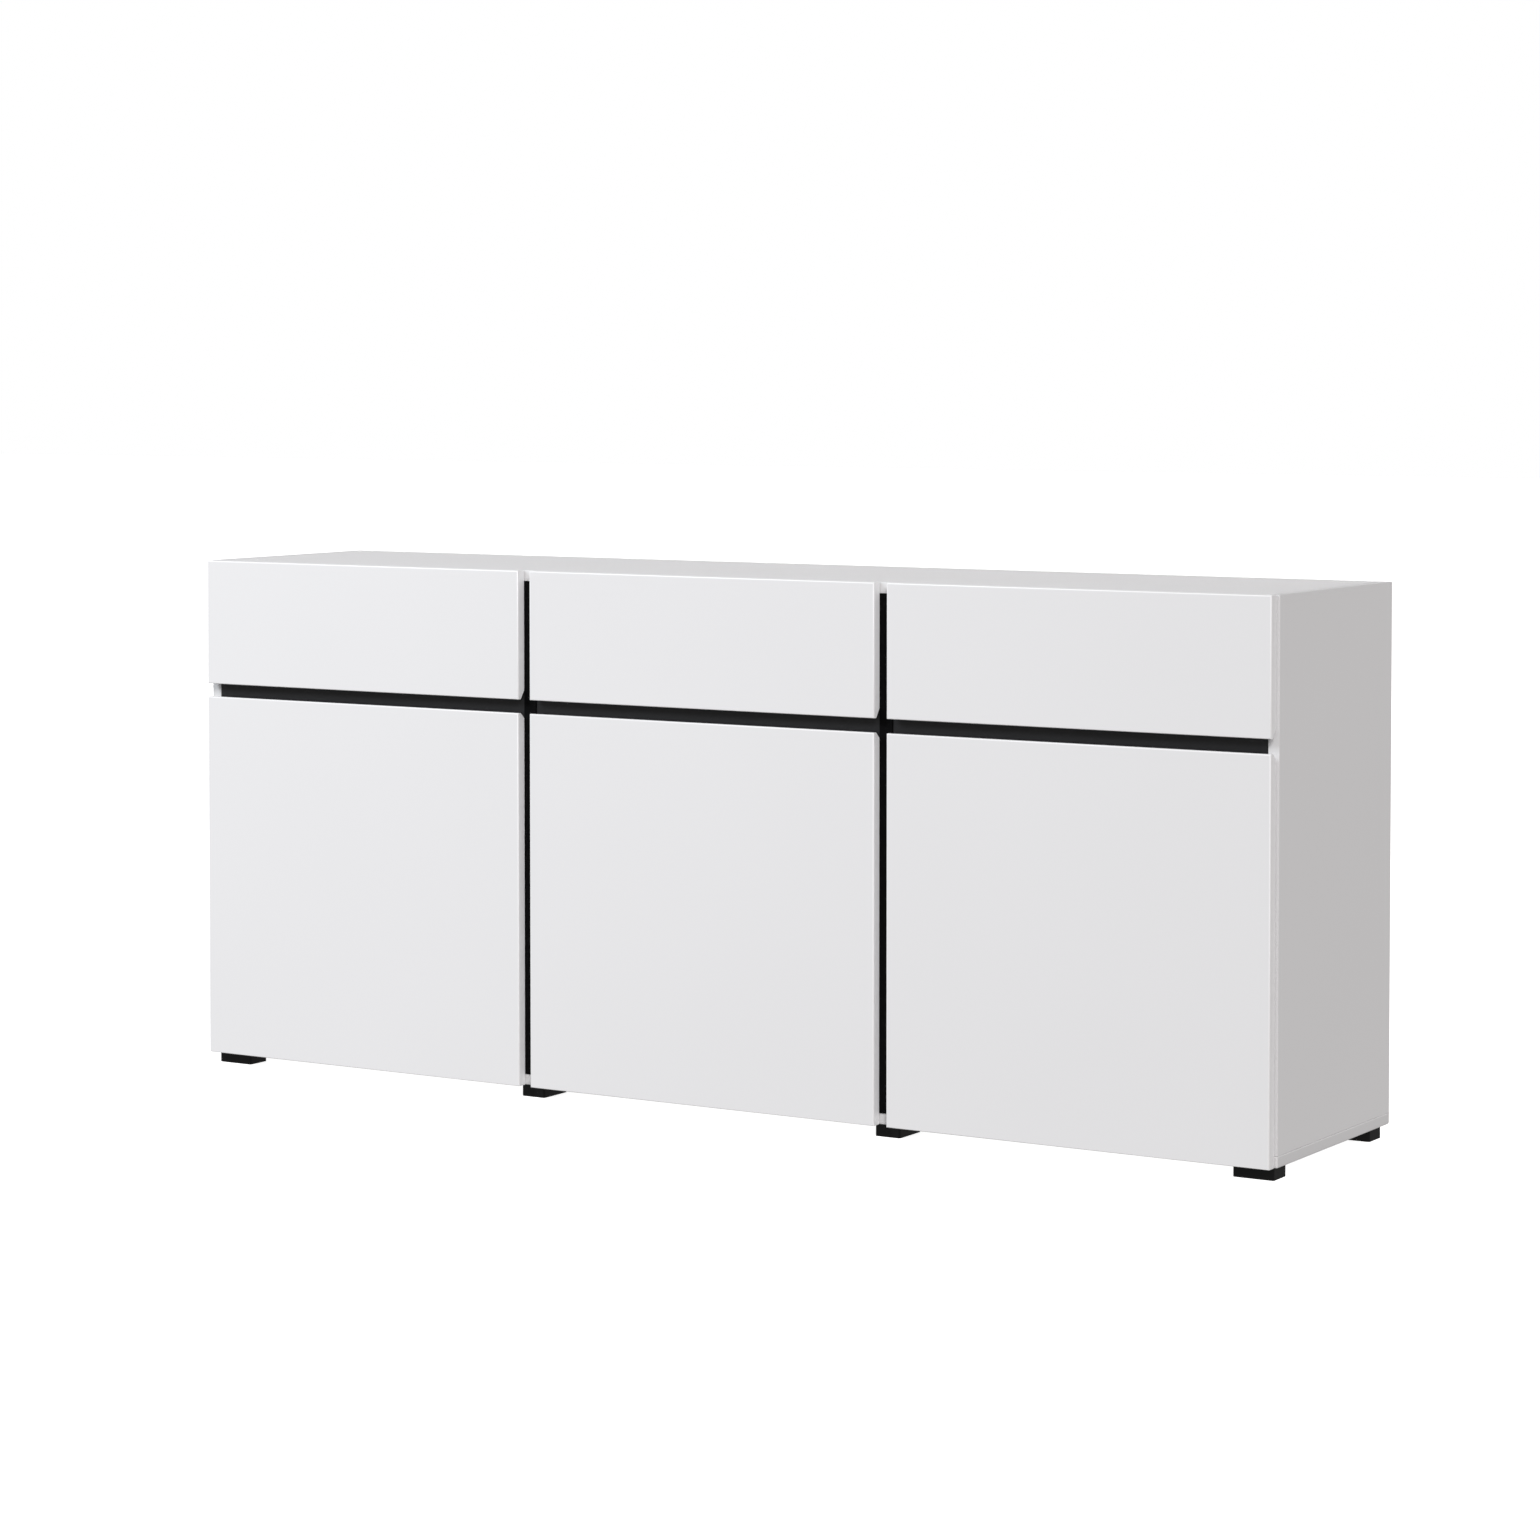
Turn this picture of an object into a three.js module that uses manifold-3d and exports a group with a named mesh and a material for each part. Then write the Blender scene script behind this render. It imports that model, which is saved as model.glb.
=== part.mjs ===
// Handleless sideboard: three drawers above three doors, with a dark grip channel between them.
// Millimetres, +Z up. The fronts face -Y and +X is to the right of someone who faces them.
// The origin is on the floor, in the middle of the footprint.

import * as THREE from "three";
import { mergeVertices } from "three/addons/utils/BufferGeometryUtils.js";
import Module from "manifold-3d";

// Overall size
const WIDTH = 1800;
const DEPTH = 396;
const HEIGHT = 780;

// Boards
const CARCASS_BOARD = 16;
const FRONT_BOARD = 16;
const BACK_BOARD = 3;
const BACK_INSET = 1; // the back stops short of the carcass edges all round
const SEAM = 0.1; // hairline between two pieces that are screwed or glued together

// Fronts
const FRONT_AIR = 2; // between a closed front and the carcass
const COLUMN_GAP = 20; // upright gap between neighbouring fronts
const FRONT_SIDE_INSET = 4; // outer fronts stop this far inside the outer sides
const CHANNEL_HEIGHT = 20; // level gap between the drawer fronts and the doors
const DRAWER_FRONT_HEIGHT = 190;
const GRIP_LAND = 7; // flat part of a grip edge, from the face to where the bevel starts
const DRAWER_GRIP_RISE = 13; // height of the bevel behind a drawer front's lower edge
const DOOR_GRIP_FALL = 8; // height of the bevel behind a door's upper edge

// Dark rail behind the grip channel
const RAIL_HEIGHT = 50;
const RAIL_BOARD = 16;

// Feet
const FOOT_HEIGHT = 18;
const FOOT_LENGTH = 60;
const FOOT_WIDTH = 40;
const FOOT_CORNER = 3;
const FOOT_SIDE_INSET = 7; // from the carcass side to an outer foot
const FOOT_FRONT_INSET = 4;
const FOOT_REAR_INSET = 12;

// Shelves
const SHELF_AIR = 1; // at each end
const SHELF_FRONT_INSET = 30;
const SHELF_REAR_AIR = 6;

// Drawer boxes
const DRAWER_BOARD = 12;
const DRAWER_BOTTOM = 3;
const DRAWER_UNDER_AIR = 7; // between the rail and the drawer box
const DRAWER_OVER_AIR = 22; // between the drawer box and the top panel
const DRAWER_REAR_AIR = 31; // between the drawer box and the carcass's rear edge
const GROOVE_HEIGHT = 8; // from a drawer side's lower edge to the groove for the bottom
const GROOVE_DEPTH = 5;
const GROOVE_PLAY = 0.4;

// Roller slides
const SLIDE_WIDTH = 12.5; // space for one slide beside the drawer box
const SLIDE_STEEL = 1.2;
const SLIDE_HEIGHT = 28;
const SLIDE_PLAY = 0.3; // between a slide member and the board that carries it
const SLIDE_DROP = 4; // from the drawer box's lower edge down to the fixed member
const SLIDE_SETBACK = 3; // from the carcass's front edge to the fixed member
const RUNNER_RISE = 17; // from the drawer box's lower edge up to the runner's lip
const RUNNER_LIP = 7.5;
const RUNNER_FOOT = 11; // the runner's flange under the drawer side

// Concealed hinges
const HINGE_FROM_END = 100; // from a door's end to the middle of its nearest hinge
const CUP_DIAMETER = 35;
const CUP_EDGE_DISTANCE = 22.5; // from the door's edge to the middle of the cup
const CUP_BORE_DEPTH = 12.5;
const CUP_DEPTH = 11.5;
const CUP_PLAY = 0.2; // between the cup and its bore, and under its flange
const CUP_WALL = 0.9;
const CUP_RIM = 1.5;
const CUP_FLANGE = 1;
const EAR_WIDTH = 15;
const EAR_SPAN = 60;
const EAR_OFFSET = 7; // the screw ears lie this far behind the cup's middle
const ARM_HEIGHT = 15;
const ARM_WIDTH = 11;
const ARM_FRONT_AIR = 0.7; // from the carcass's front edge to the arm's nose
const ARM_NOSE_LENGTH = 12;
const ARM_CRANK_END = 26;
const ARM_LENGTH = 64;
const ARM_WALL_AIR = 0.8;
const PLATE_THICKNESS = 2.1;
const PLATE_HEIGHT = 48;
const PLATE_LENGTH = 18;
const PLATE_SETBACK = 37; // from the carcass's front edge to the middle of the plate
const PLATE_PLAY = 0.3;
const ROUND_SIDES = 36;

// Where the hinge lets the door turn: from the door's edge, and from its face
const PIVOT_INSET = 6;
const PIVOT_DEPTH = 6;

// Planes that several pieces share
const faceY = -DEPTH / 2;
const frontRearY = faceY + FRONT_BOARD;
const carcassFrontY = frontRearY + FRONT_AIR;
const carcassRearY = DEPTH / 2 - BACK_BOARD - SEAM;
const carcassBottomZ = FOOT_HEIGHT;
const floorPanelTopZ = carcassBottomZ + CARCASS_BOARD;
const topPanelUnderZ = HEIGHT - CARCASS_BOARD;
const sideFaceX = WIDTH / 2 - CARCASS_BOARD;

const frontWidth = (WIDTH - 2 * FRONT_SIDE_INSET - 2 * COLUMN_GAP) / 3;
const partitionX = (frontWidth + COLUMN_GAP) / 2;
const drawerFrontBottomZ = HEIGHT - DRAWER_FRONT_HEIGHT;
const doorTopZ = drawerFrontBottomZ - CHANNEL_HEIGHT;

const railMiddleZ = doorTopZ + CHANNEL_HEIGHT / 2;
const railBottomZ = railMiddleZ - RAIL_HEIGHT / 2;
const railTopZ = railMiddleZ + RAIL_HEIGHT / 2;

const boxBottomZ = railTopZ + DRAWER_UNDER_AIR;
const boxTopZ = topPanelUnderZ - DRAWER_OVER_AIR;
const boxFrontY = frontRearY + SEAM;
const boxRearY = carcassRearY - DRAWER_REAR_AIR;
const grooveBottomZ = boxBottomZ + GROOVE_HEIGHT;
const grooveTopZ = grooveBottomZ + DRAWER_BOTTOM + GROOVE_PLAY;

// The three bays, each with the boards' faces on its two sides and the side its door hangs on
const partitionHalf = CARCASS_BOARD / 2;
const BAYS = [
  {
    name: "left",
    frontX: -(frontWidth + COLUMN_GAP),
    lowX: -sideFaceX,
    highX: -partitionX - partitionHalf,
    hangsOn: -1,
  },
  {
    name: "centre",
    frontX: 0,
    lowX: -partitionX + partitionHalf,
    highX: partitionX - partitionHalf,
    hangsOn: -1,
  },
  {
    name: "right",
    frontX: frontWidth + COLUMN_GAP,
    lowX: partitionX + partitionHalf,
    highX: sideFaceX,
    hangsOn: 1,
  },
];
const SIDES = [
  { name: "left", sign: -1 },
  { name: "right", sign: 1 },
];

// Finishes

function whiteMelamine() {
  return new THREE.MeshStandardMaterial({ color: 0xe9e9ec, roughness: 0.55, metalness: 0 });
}

function blackLaminate() {
  return new THREE.MeshStandardMaterial({ color: 0x242425, roughness: 0.6, metalness: 0 });
}

function blackPlastic() {
  return new THREE.MeshStandardMaterial({ color: 0x1f1f20, roughness: 0.5, metalness: 0 });
}

function drawerBoard() {
  return new THREE.MeshStandardMaterial({ color: 0xe2e2e2, roughness: 0.6, metalness: 0 });
}

function whiteHardboard() {
  return new THREE.MeshStandardMaterial({ color: 0xdedcd6, roughness: 0.7, metalness: 0 });
}

function whiteSteel() {
  return new THREE.MeshStandardMaterial({ color: 0xe6e6e4, roughness: 0.45, metalness: 0 });
}

function nickelSteel() {
  return new THREE.MeshStandardMaterial({ color: 0xb9babb, roughness: 0.35, metalness: 1 });
}

// Solids

const wasm = await Module();
wasm.setup();

/** A closed three.js geometry as a solid that can be joined and cut. */
function solidOf(geometry) {
  const bare = geometry.clone();
  bare.deleteAttribute("normal");
  bare.deleteAttribute("uv");
  const merged = mergeVertices(bare, 1e-4);
  return new wasm.Manifold(
    new wasm.Mesh({
      numProp: 3,
      vertProperties: merged.attributes.position.array,
      triVerts: new Uint32Array(merged.index.array),
    }),
  );
}

/** A solid turned back into a three.js geometry. */
function geometryOf(solid) {
  const mesh = solid.getMesh();
  const geometry = new THREE.BufferGeometry();
  geometry.setAttribute("position", new THREE.BufferAttribute(mesh.vertProperties, 3));
  geometry.setIndex(new THREE.BufferAttribute(mesh.triVerts, 1));
  geometry.computeVertexNormals();
  return geometry;
}

/** A box with its middle at the given point. */
function boxAt(width, depth, height, x, y, z) {
  return new THREE.BoxGeometry(width, depth, height).translate(x, y, z);
}

/** A rod along Y, from y = low to y = high, round the line through (x, z). */
function rodAlongY(radius, x, low, high, z) {
  const rod = new THREE.CylinderGeometry(radius, radius, high - low, ROUND_SIDES);
  return rod.translate(x, (low + high) / 2, z);
}

/** A closed outline from its corner points. */
function outlineOf(points) {
  return new THREE.Shape(points.map(([u, v]) => new THREE.Vector2(u, v)));
}

/** An outline of (y, z) points, extruded along X, with its middle at x = 0. */
function extrudeAlongX(points, length) {
  const geometry = new THREE.ExtrudeGeometry(outlineOf(points), { depth: length, bevelEnabled: false });
  geometry.translate(0, 0, -length / 2);
  const turn = new THREE.Matrix4().makeBasis(
    new THREE.Vector3(0, 1, 0),
    new THREE.Vector3(0, 0, 1),
    new THREE.Vector3(1, 0, 0),
  );
  return geometry.applyMatrix4(turn);
}

/** An outline of (x, z) points, extruded along Y, with its middle at y = 0. */
function extrudeAlongY(points, length) {
  const geometry = new THREE.ExtrudeGeometry(outlineOf(points), { depth: length, bevelEnabled: false });
  geometry.translate(0, 0, -length / 2);
  const turn = new THREE.Matrix4().makeBasis(
    new THREE.Vector3(1, 0, 0),
    new THREE.Vector3(0, 0, 1),
    new THREE.Vector3(0, -1, 0),
  );
  return geometry.applyMatrix4(turn);
}

/** A named mesh, added to its group at the given place. */
function addPiece(group, name, geometry, material, x, y, z) {
  const mesh = new THREE.Mesh(geometry, material);
  mesh.name = name;
  mesh.position.set(x, y, z);
  group.add(mesh);
}

/** A plain board between two corners, added to its group. */
function addBoard(group, name, material, low, high) {
  const size = high.map((value, axis) => value - low[axis]);
  const middle = high.map((value, axis) => (value + low[axis]) / 2);
  addPiece(group, name, new THREE.BoxGeometry(...size), material, ...middle);
}

// Carcass

/** Floor, top, sides, back and rail: the fixed boards that run the full width or height. */
function addCarcassBoards(group) {
  const halfWidth = WIDTH / 2;
  const insideX = sideFaceX - SEAM;
  addBoard(
    group,
    "bottom_panel",
    whiteMelamine(),
    [-halfWidth, carcassFrontY, carcassBottomZ],
    [halfWidth, carcassRearY, floorPanelTopZ],
  );
  addBoard(
    group,
    "top_panel",
    whiteMelamine(),
    [-insideX, carcassFrontY, topPanelUnderZ],
    [insideX, carcassRearY, HEIGHT],
  );
  for (const { name, sign } of SIDES) {
    const faces = [sign * sideFaceX, sign * halfWidth];
    addBoard(
      group,
      `side_panel_${name}`,
      whiteMelamine(),
      [Math.min(...faces), carcassFrontY, floorPanelTopZ + SEAM],
      [Math.max(...faces), carcassRearY, HEIGHT],
    );
  }
  addBoard(
    group,
    "back_panel",
    whiteHardboard(),
    [-halfWidth + BACK_INSET, carcassRearY + SEAM, carcassBottomZ + BACK_INSET],
    [halfWidth - BACK_INSET, DEPTH / 2, HEIGHT - BACK_INSET],
  );
  addBoard(
    group,
    "channel_rail",
    blackLaminate(),
    [-insideX, carcassFrontY, railBottomZ],
    [insideX, carcassFrontY + RAIL_BOARD, railTopZ],
  );
}

/** The two upright partitions, each notched round the rail. */
function addPartitions(group) {
  const bottomZ = floorPanelTopZ + SEAM;
  const topZ = topPanelUnderZ - SEAM;
  const notchY = carcassFrontY + RAIL_BOARD + SEAM;
  const outline = [
    [carcassFrontY, bottomZ],
    [carcassRearY, bottomZ],
    [carcassRearY, topZ],
    [carcassFrontY, topZ],
    [carcassFrontY, railTopZ + SEAM],
    [notchY, railTopZ + SEAM],
    [notchY, railBottomZ - SEAM],
    [carcassFrontY, railBottomZ - SEAM],
  ];
  for (const { name, sign } of SIDES) {
    const board = extrudeAlongX(outline, CARCASS_BOARD);
    addPiece(group, `partition_${name}`, board, whiteMelamine(), sign * partitionX, 0, 0);
  }
}

/** A foot's plan: a rectangle with round corners, about its own middle. */
function footPlan(width, depth) {
  const x = width / 2 - FOOT_CORNER;
  const y = depth / 2 - FOOT_CORNER;
  const plan = new THREE.Shape();
  plan.absarc(x, y, FOOT_CORNER, 0, Math.PI / 2);
  plan.absarc(-x, y, FOOT_CORNER, Math.PI / 2, Math.PI);
  plan.absarc(-x, -y, FOOT_CORNER, Math.PI, 1.5 * Math.PI);
  plan.absarc(x, -y, FOOT_CORNER, 1.5 * Math.PI, 2 * Math.PI);
  return plan;
}

/** One foot, with its nearest edge on the line y = edgeY and its body on the side that sign names. */
function addFoot(group, name, width, depth, x, edgeY, sign) {
  const options = { depth: FOOT_HEIGHT - SEAM, bevelEnabled: false, curveSegments: 4 };
  const foot = new THREE.ExtrudeGeometry(footPlan(width, depth), options);
  addPiece(group, name, foot, blackPlastic(), x, edgeY + (sign * depth) / 2, 0);
}

/** Four feet along the front, under the sides and partitions, and two under the rear corners. */
function addFeet(group) {
  const outerX = WIDTH / 2 - FOOT_SIDE_INSET - FOOT_LENGTH / 2;
  const frontY = carcassFrontY + FOOT_FRONT_INSET;
  const rearY = carcassRearY - FOOT_REAR_INSET;
  for (const { name, sign } of SIDES) {
    addFoot(group, `foot_front_${name}`, FOOT_LENGTH, FOOT_WIDTH, sign * outerX, frontY, 1);
    addFoot(group, `foot_middle_${name}`, FOOT_WIDTH, FOOT_LENGTH, sign * partitionX, frontY, 1);
    addFoot(group, `foot_rear_${name}`, FOOT_LENGTH, FOOT_WIDTH, sign * outerX, rearY, -1);
  }
}

/** One shelf in each bay, half way up the space behind the door. */
function addShelves(group) {
  const middleZ = (floorPanelTopZ + railBottomZ) / 2;
  for (const bay of BAYS) {
    addBoard(
      group,
      `shelf_${bay.name}`,
      whiteMelamine(),
      [bay.lowX + SHELF_AIR, carcassFrontY + SHELF_FRONT_INSET, middleZ - CARCASS_BOARD / 2],
      [bay.highX - SHELF_AIR, carcassRearY - SHELF_REAR_AIR, middleZ + CARCASS_BOARD / 2],
    );
  }
}

// Roller slides

/** The fixed member's section: a channel that opens away from the board it is screwed to. */
function fixedMemberSection(sign) {
  const wall = SLIDE_PLAY;
  const lip = SLIDE_WIDTH - 2 * SLIDE_STEEL;
  const low = boxBottomZ - SLIDE_DROP;
  const high = low + SLIDE_HEIGHT;
  const section = [
    [wall, low],
    [lip, low],
    [lip, low + SLIDE_STEEL],
    [wall + SLIDE_STEEL, low + SLIDE_STEEL],
    [wall + SLIDE_STEEL, high - SLIDE_STEEL],
    [lip, high - SLIDE_STEEL],
    [lip, high],
    [wall, high],
  ];
  return section.map(([s, z]) => [sign * s, z]);
}

/** The moving member's section: a lip inside the channel, a web, and a flange under the drawer side. */
function runnerSection(sign) {
  const webOuter = SLIDE_WIDTH - SLIDE_PLAY;
  const webInner = webOuter - SLIDE_STEEL;
  const flangeTop = boxBottomZ - SLIDE_PLAY;
  const flangeLow = flangeTop - SLIDE_STEEL;
  const lipTop = boxBottomZ + RUNNER_RISE;
  const lipLow = lipTop - SLIDE_STEEL;
  const section = [
    [webInner, flangeLow],
    [webOuter + RUNNER_FOOT, flangeLow],
    [webOuter + RUNNER_FOOT, flangeTop],
    [webOuter, flangeTop],
    [webOuter, lipTop],
    [webInner - RUNNER_LIP, lipTop],
    [webInner - RUNNER_LIP, lipLow],
    [webInner, lipLow],
  ];
  return section.map(([s, z]) => [sign * s, z]);
}

/** The two fixed members of one bay, on the boards' faces. */
function addFixedMembers(group, bay) {
  const length = boxRearY - boxFrontY;
  const y = carcassFrontY + SLIDE_SETBACK + length / 2;
  for (const { name, sign } of SIDES) {
    const member = extrudeAlongY(fixedMemberSection(-sign), length);
    const wallX = sign < 0 ? bay.lowX : bay.highX;
    addPiece(group, `slide_${bay.name}_${name}`, member, whiteSteel(), wallX, y, 0);
  }
}

// Drawers

/** A drawer front's section: square at the top, bevelled behind its lower edge for the fingers. */
function drawerFrontSection() {
  return [
    [faceY, drawerFrontBottomZ],
    [faceY + GRIP_LAND, drawerFrontBottomZ],
    [frontRearY, drawerFrontBottomZ + DRAWER_GRIP_RISE],
    [frontRearY, HEIGHT],
    [faceY, HEIGHT],
  ];
}

/** A drawer side's section, with the groove for the bottom on the side that sign names. */
function drawerSideSection(sign) {
  const half = DRAWER_BOARD / 2;
  const groove = half - GROOVE_DEPTH;
  const section = [
    [-half, boxBottomZ],
    [half, boxBottomZ],
    [half, grooveBottomZ],
    [groove, grooveBottomZ],
    [groove, grooveTopZ],
    [half, grooveTopZ],
    [half, boxTopZ],
    [-half, boxTopZ],
  ];
  return section.map(([s, z]) => [sign * s, z]);
}

/** One drawer: front, two sides, back, bottom and the two moving slide members. */
function drawer(bay) {
  const group = new THREE.Group();
  const middleX = (bay.lowX + bay.highX) / 2;
  const outerX = (bay.highX - bay.lowX) / 2 - SLIDE_WIDTH;
  const innerX = outerX - DRAWER_BOARD;
  const length = boxRearY - boxFrontY;
  const middleY = (boxRearY + boxFrontY) / 2;
  group.position.x = middleX;
  const front = extrudeAlongX(drawerFrontSection(), frontWidth);
  addPiece(group, `drawer_front_${bay.name}`, front, whiteMelamine(), bay.frontX - middleX, 0, 0);
  for (const { name, sign } of SIDES) {
    const side = extrudeAlongY(drawerSideSection(-sign), length);
    const sideX = sign * (outerX - DRAWER_BOARD / 2);
    addPiece(group, `drawer_side_${bay.name}_${name}`, side, drawerBoard(), sideX, middleY, 0);
    const runner = extrudeAlongY(runnerSection(-sign), length);
    const wallX = sign * (outerX + SLIDE_WIDTH);
    addPiece(group, `runner_${bay.name}_${name}`, runner, whiteSteel(), wallX, middleY, 0);
  }
  addBoard(
    group,
    `drawer_back_${bay.name}`,
    drawerBoard(),
    [-innerX + SEAM, boxRearY - DRAWER_BOARD, grooveTopZ],
    [innerX - SEAM, boxRearY, boxTopZ],
  );
  const inGroove = innerX + GROOVE_DEPTH - GROOVE_PLAY;
  const bottomZ = grooveBottomZ + GROOVE_PLAY / 2;
  addBoard(
    group,
    `drawer_bottom_${bay.name}`,
    whiteHardboard(),
    [-inGroove, boxFrontY + SEAM, bottomZ],
    [inGroove, boxRearY, bottomZ + DRAWER_BOTTOM],
  );
  return group;
}

// Doors and their hinges

/** Heights of a door's two hinges. */
const hingeHeights = [
  { name: "lower", z: carcassBottomZ + HINGE_FROM_END },
  { name: "upper", z: doorTopZ - HINGE_FROM_END },
];

/** The line, across the width, on which the middles of a door's hinge cups lie. */
function cupX(bay) {
  return bay.frontX + bay.hangsOn * (frontWidth / 2 - CUP_EDGE_DISTANCE);
}

/** A door: bevelled behind its upper edge, with a blind bore for each hinge cup. */
function doorGeometry(bay, pivotX) {
  const section = [
    [faceY, carcassBottomZ],
    [frontRearY, carcassBottomZ],
    [frontRearY, doorTopZ - DOOR_GRIP_FALL],
    [faceY + GRIP_LAND, doorTopZ],
    [faceY, doorTopZ],
  ];
  let door = solidOf(extrudeAlongX(section, frontWidth));
  const boreX = cupX(bay) - bay.frontX;
  for (const { z } of hingeHeights) {
    const bore = rodAlongY(CUP_DIAMETER / 2, boreX, frontRearY - CUP_BORE_DEPTH, frontRearY + 1, z);
    door = door.subtract(solidOf(bore));
  }
  return geometryOf(door).translate(bay.frontX - pivotX, -faceY - PIVOT_DEPTH, 0);
}

/** A hinge cup with its flange and screw ears, open to the rear, about its own middle. */
function cupGeometry(hangsOn) {
  const radius = CUP_DIAMETER / 2 - CUP_PLAY;
  const flangeTop = CUP_PLAY + CUP_FLANGE;
  const flangeMiddle = CUP_PLAY + CUP_FLANGE / 2;
  const body = solidOf(rodAlongY(radius, 0, -CUP_DEPTH, flangeTop, 0));
  const flange = solidOf(rodAlongY(CUP_DIAMETER / 2 + CUP_RIM, 0, CUP_PLAY, flangeTop, 0));
  const earX = -hangsOn * EAR_OFFSET;
  const ears = solidOf(boxAt(EAR_WIDTH, CUP_FLANGE, EAR_SPAN, earX, flangeMiddle, 0));
  const hollow = solidOf(rodAlongY(radius - CUP_WALL, 0, CUP_WALL - CUP_DEPTH, flangeTop + 1, 0));
  return geometryOf(body.add(flange).add(ears).subtract(hollow));
}

/** A hinge arm on its plate, about the point where the board's face meets the carcass front. */
function armGeometry(bay) {
  const faceX = bay.hangsOn < 0 ? bay.lowX : bay.highX;
  const reach = Math.abs(cupX(bay) - faceX);
  const noseNear = Math.max(reach - ARM_WIDTH / 2, ARM_WALL_AIR);
  const noseFar = noseNear + ARM_WIDTH;
  const bodyNear = PLATE_PLAY + PLATE_THICKNESS - SEAM;
  const bodyFar = bodyNear + ARM_WIDTH;
  const inward = -bay.hangsOn;
  const plan = [
    [noseNear, ARM_FRONT_AIR],
    [noseFar, ARM_FRONT_AIR],
    [noseFar, ARM_NOSE_LENGTH],
    [bodyFar, ARM_CRANK_END],
    [bodyFar, ARM_LENGTH],
    [bodyNear, ARM_LENGTH],
    [bodyNear, ARM_CRANK_END],
    [noseNear, ARM_NOSE_LENGTH],
  ].map(([s, y]) => [inward * s, y]);
  const options = { depth: ARM_HEIGHT, bevelEnabled: false };
  const arm = new THREE.ExtrudeGeometry(outlineOf(plan), options).translate(0, 0, -ARM_HEIGHT / 2);
  const plateX = inward * (PLATE_PLAY + PLATE_THICKNESS / 2);
  const plate = boxAt(PLATE_THICKNESS, PLATE_LENGTH, PLATE_HEIGHT, plateX, PLATE_SETBACK, 0);
  return geometryOf(solidOf(arm).add(solidOf(plate)));
}

/** The fixed halves of one bay's hinges. */
function addHingeArms(group, bay) {
  const faceX = bay.hangsOn < 0 ? bay.lowX : bay.highX;
  for (const { name, z } of hingeHeights) {
    addPiece(
      group,
      `hinge_arm_${bay.name}_${name}`,
      armGeometry(bay),
      nickelSteel(),
      faceX,
      carcassFrontY,
      z,
    );
  }
}

/** One door and its hinge cups, in a group whose origin is on the line that the door turns about. */
function door(bay) {
  const group = new THREE.Group();
  const pivotX = bay.frontX + bay.hangsOn * (frontWidth / 2 - PIVOT_INSET);
  const pivotY = faceY + PIVOT_DEPTH;
  group.position.set(pivotX, pivotY, 0);
  addPiece(group, `door_panel_${bay.name}`, doorGeometry(bay, pivotX), whiteMelamine(), 0, 0, 0);
  for (const { name, z } of hingeHeights) {
    addPiece(
      group,
      `hinge_cup_${bay.name}_${name}`,
      cupGeometry(bay.hangsOn),
      nickelSteel(),
      cupX(bay) - pivotX,
      frontRearY - pivotY,
      z,
    );
  }
  return group;
}

// The whole sideboard

const carcass = new THREE.Group();
addCarcassBoards(carcass);
addPartitions(carcass);
addFeet(carcass);
addShelves(carcass);

const sideboard = new THREE.Group();
sideboard.add(carcass);
for (const bay of BAYS) {
  addFixedMembers(carcass, bay);
  addHingeArms(carcass, bay);
  sideboard.add(drawer(bay));
  sideboard.add(door(bay));
}

export default sideboard;
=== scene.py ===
"""Looks of a handleless sideboard, built round its fixed CAD frame.

Three drawers stand above three doors, with a dark grip channel between them. Lengths are in metres,
+Z is up and the fronts face -Y. Every place is worked out from the boxes of the CAD nodes.
"""

import logging
import math
from collections.abc import Callable, Iterable, Iterator, Sequence
from contextlib import contextmanager
from dataclasses import dataclass
from enum import Enum

import bpy
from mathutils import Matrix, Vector

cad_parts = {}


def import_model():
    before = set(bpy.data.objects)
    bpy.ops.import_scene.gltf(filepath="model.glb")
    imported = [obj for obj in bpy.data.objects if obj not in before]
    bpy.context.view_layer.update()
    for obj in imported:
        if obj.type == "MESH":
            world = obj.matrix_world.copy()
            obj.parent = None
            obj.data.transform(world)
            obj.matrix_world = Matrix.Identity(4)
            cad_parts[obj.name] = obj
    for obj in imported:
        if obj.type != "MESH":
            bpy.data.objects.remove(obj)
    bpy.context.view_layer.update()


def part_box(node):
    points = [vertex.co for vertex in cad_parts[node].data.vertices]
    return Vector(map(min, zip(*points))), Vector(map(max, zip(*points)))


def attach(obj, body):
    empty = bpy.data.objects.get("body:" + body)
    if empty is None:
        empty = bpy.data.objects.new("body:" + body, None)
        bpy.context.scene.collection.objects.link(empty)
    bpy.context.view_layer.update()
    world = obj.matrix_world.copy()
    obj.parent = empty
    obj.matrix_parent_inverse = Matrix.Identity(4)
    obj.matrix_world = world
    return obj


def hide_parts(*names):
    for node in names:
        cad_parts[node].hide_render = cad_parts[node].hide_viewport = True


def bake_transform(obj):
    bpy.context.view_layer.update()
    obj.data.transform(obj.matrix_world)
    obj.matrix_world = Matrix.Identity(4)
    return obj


LOG = logging.getLogger("sideboard")
MM = 0.001
CARCASS = "carcass"
OVERLAP = 0.05 * MM  # how far a fitted piece runs into the board that carries it
PIN_HOLE = 2.5 * MM  # radius of the drilled holes for shelf pins
SQUARE_ON = 0.98  # cosine past which a face counts as looking along an axis
X, Y, Z = range(3)
BAND, CORE, PLAIN_BAND = 1, 2, 3  # where a board's finishes stand in its list, after its face's
REAR = 1  # the same for the rear face of a sheet
UPRIGHTS = ("side_panel_left", "partition_left", "partition_right", "side_panel_right")

Point = Sequence[float]
Piece = bpy.types.Object
Socket = bpy.types.NodeSocket
FaceTest = Callable[[bpy.types.MeshPolygon], bool]


class Side(Enum):
    """The two ends of a thing, as signs along X."""

    LEFT = -1
    RIGHT = 1

    @property
    def label(self) -> str:
        """The word that CAD nodes use for this side."""
        return self.name.lower()


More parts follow.
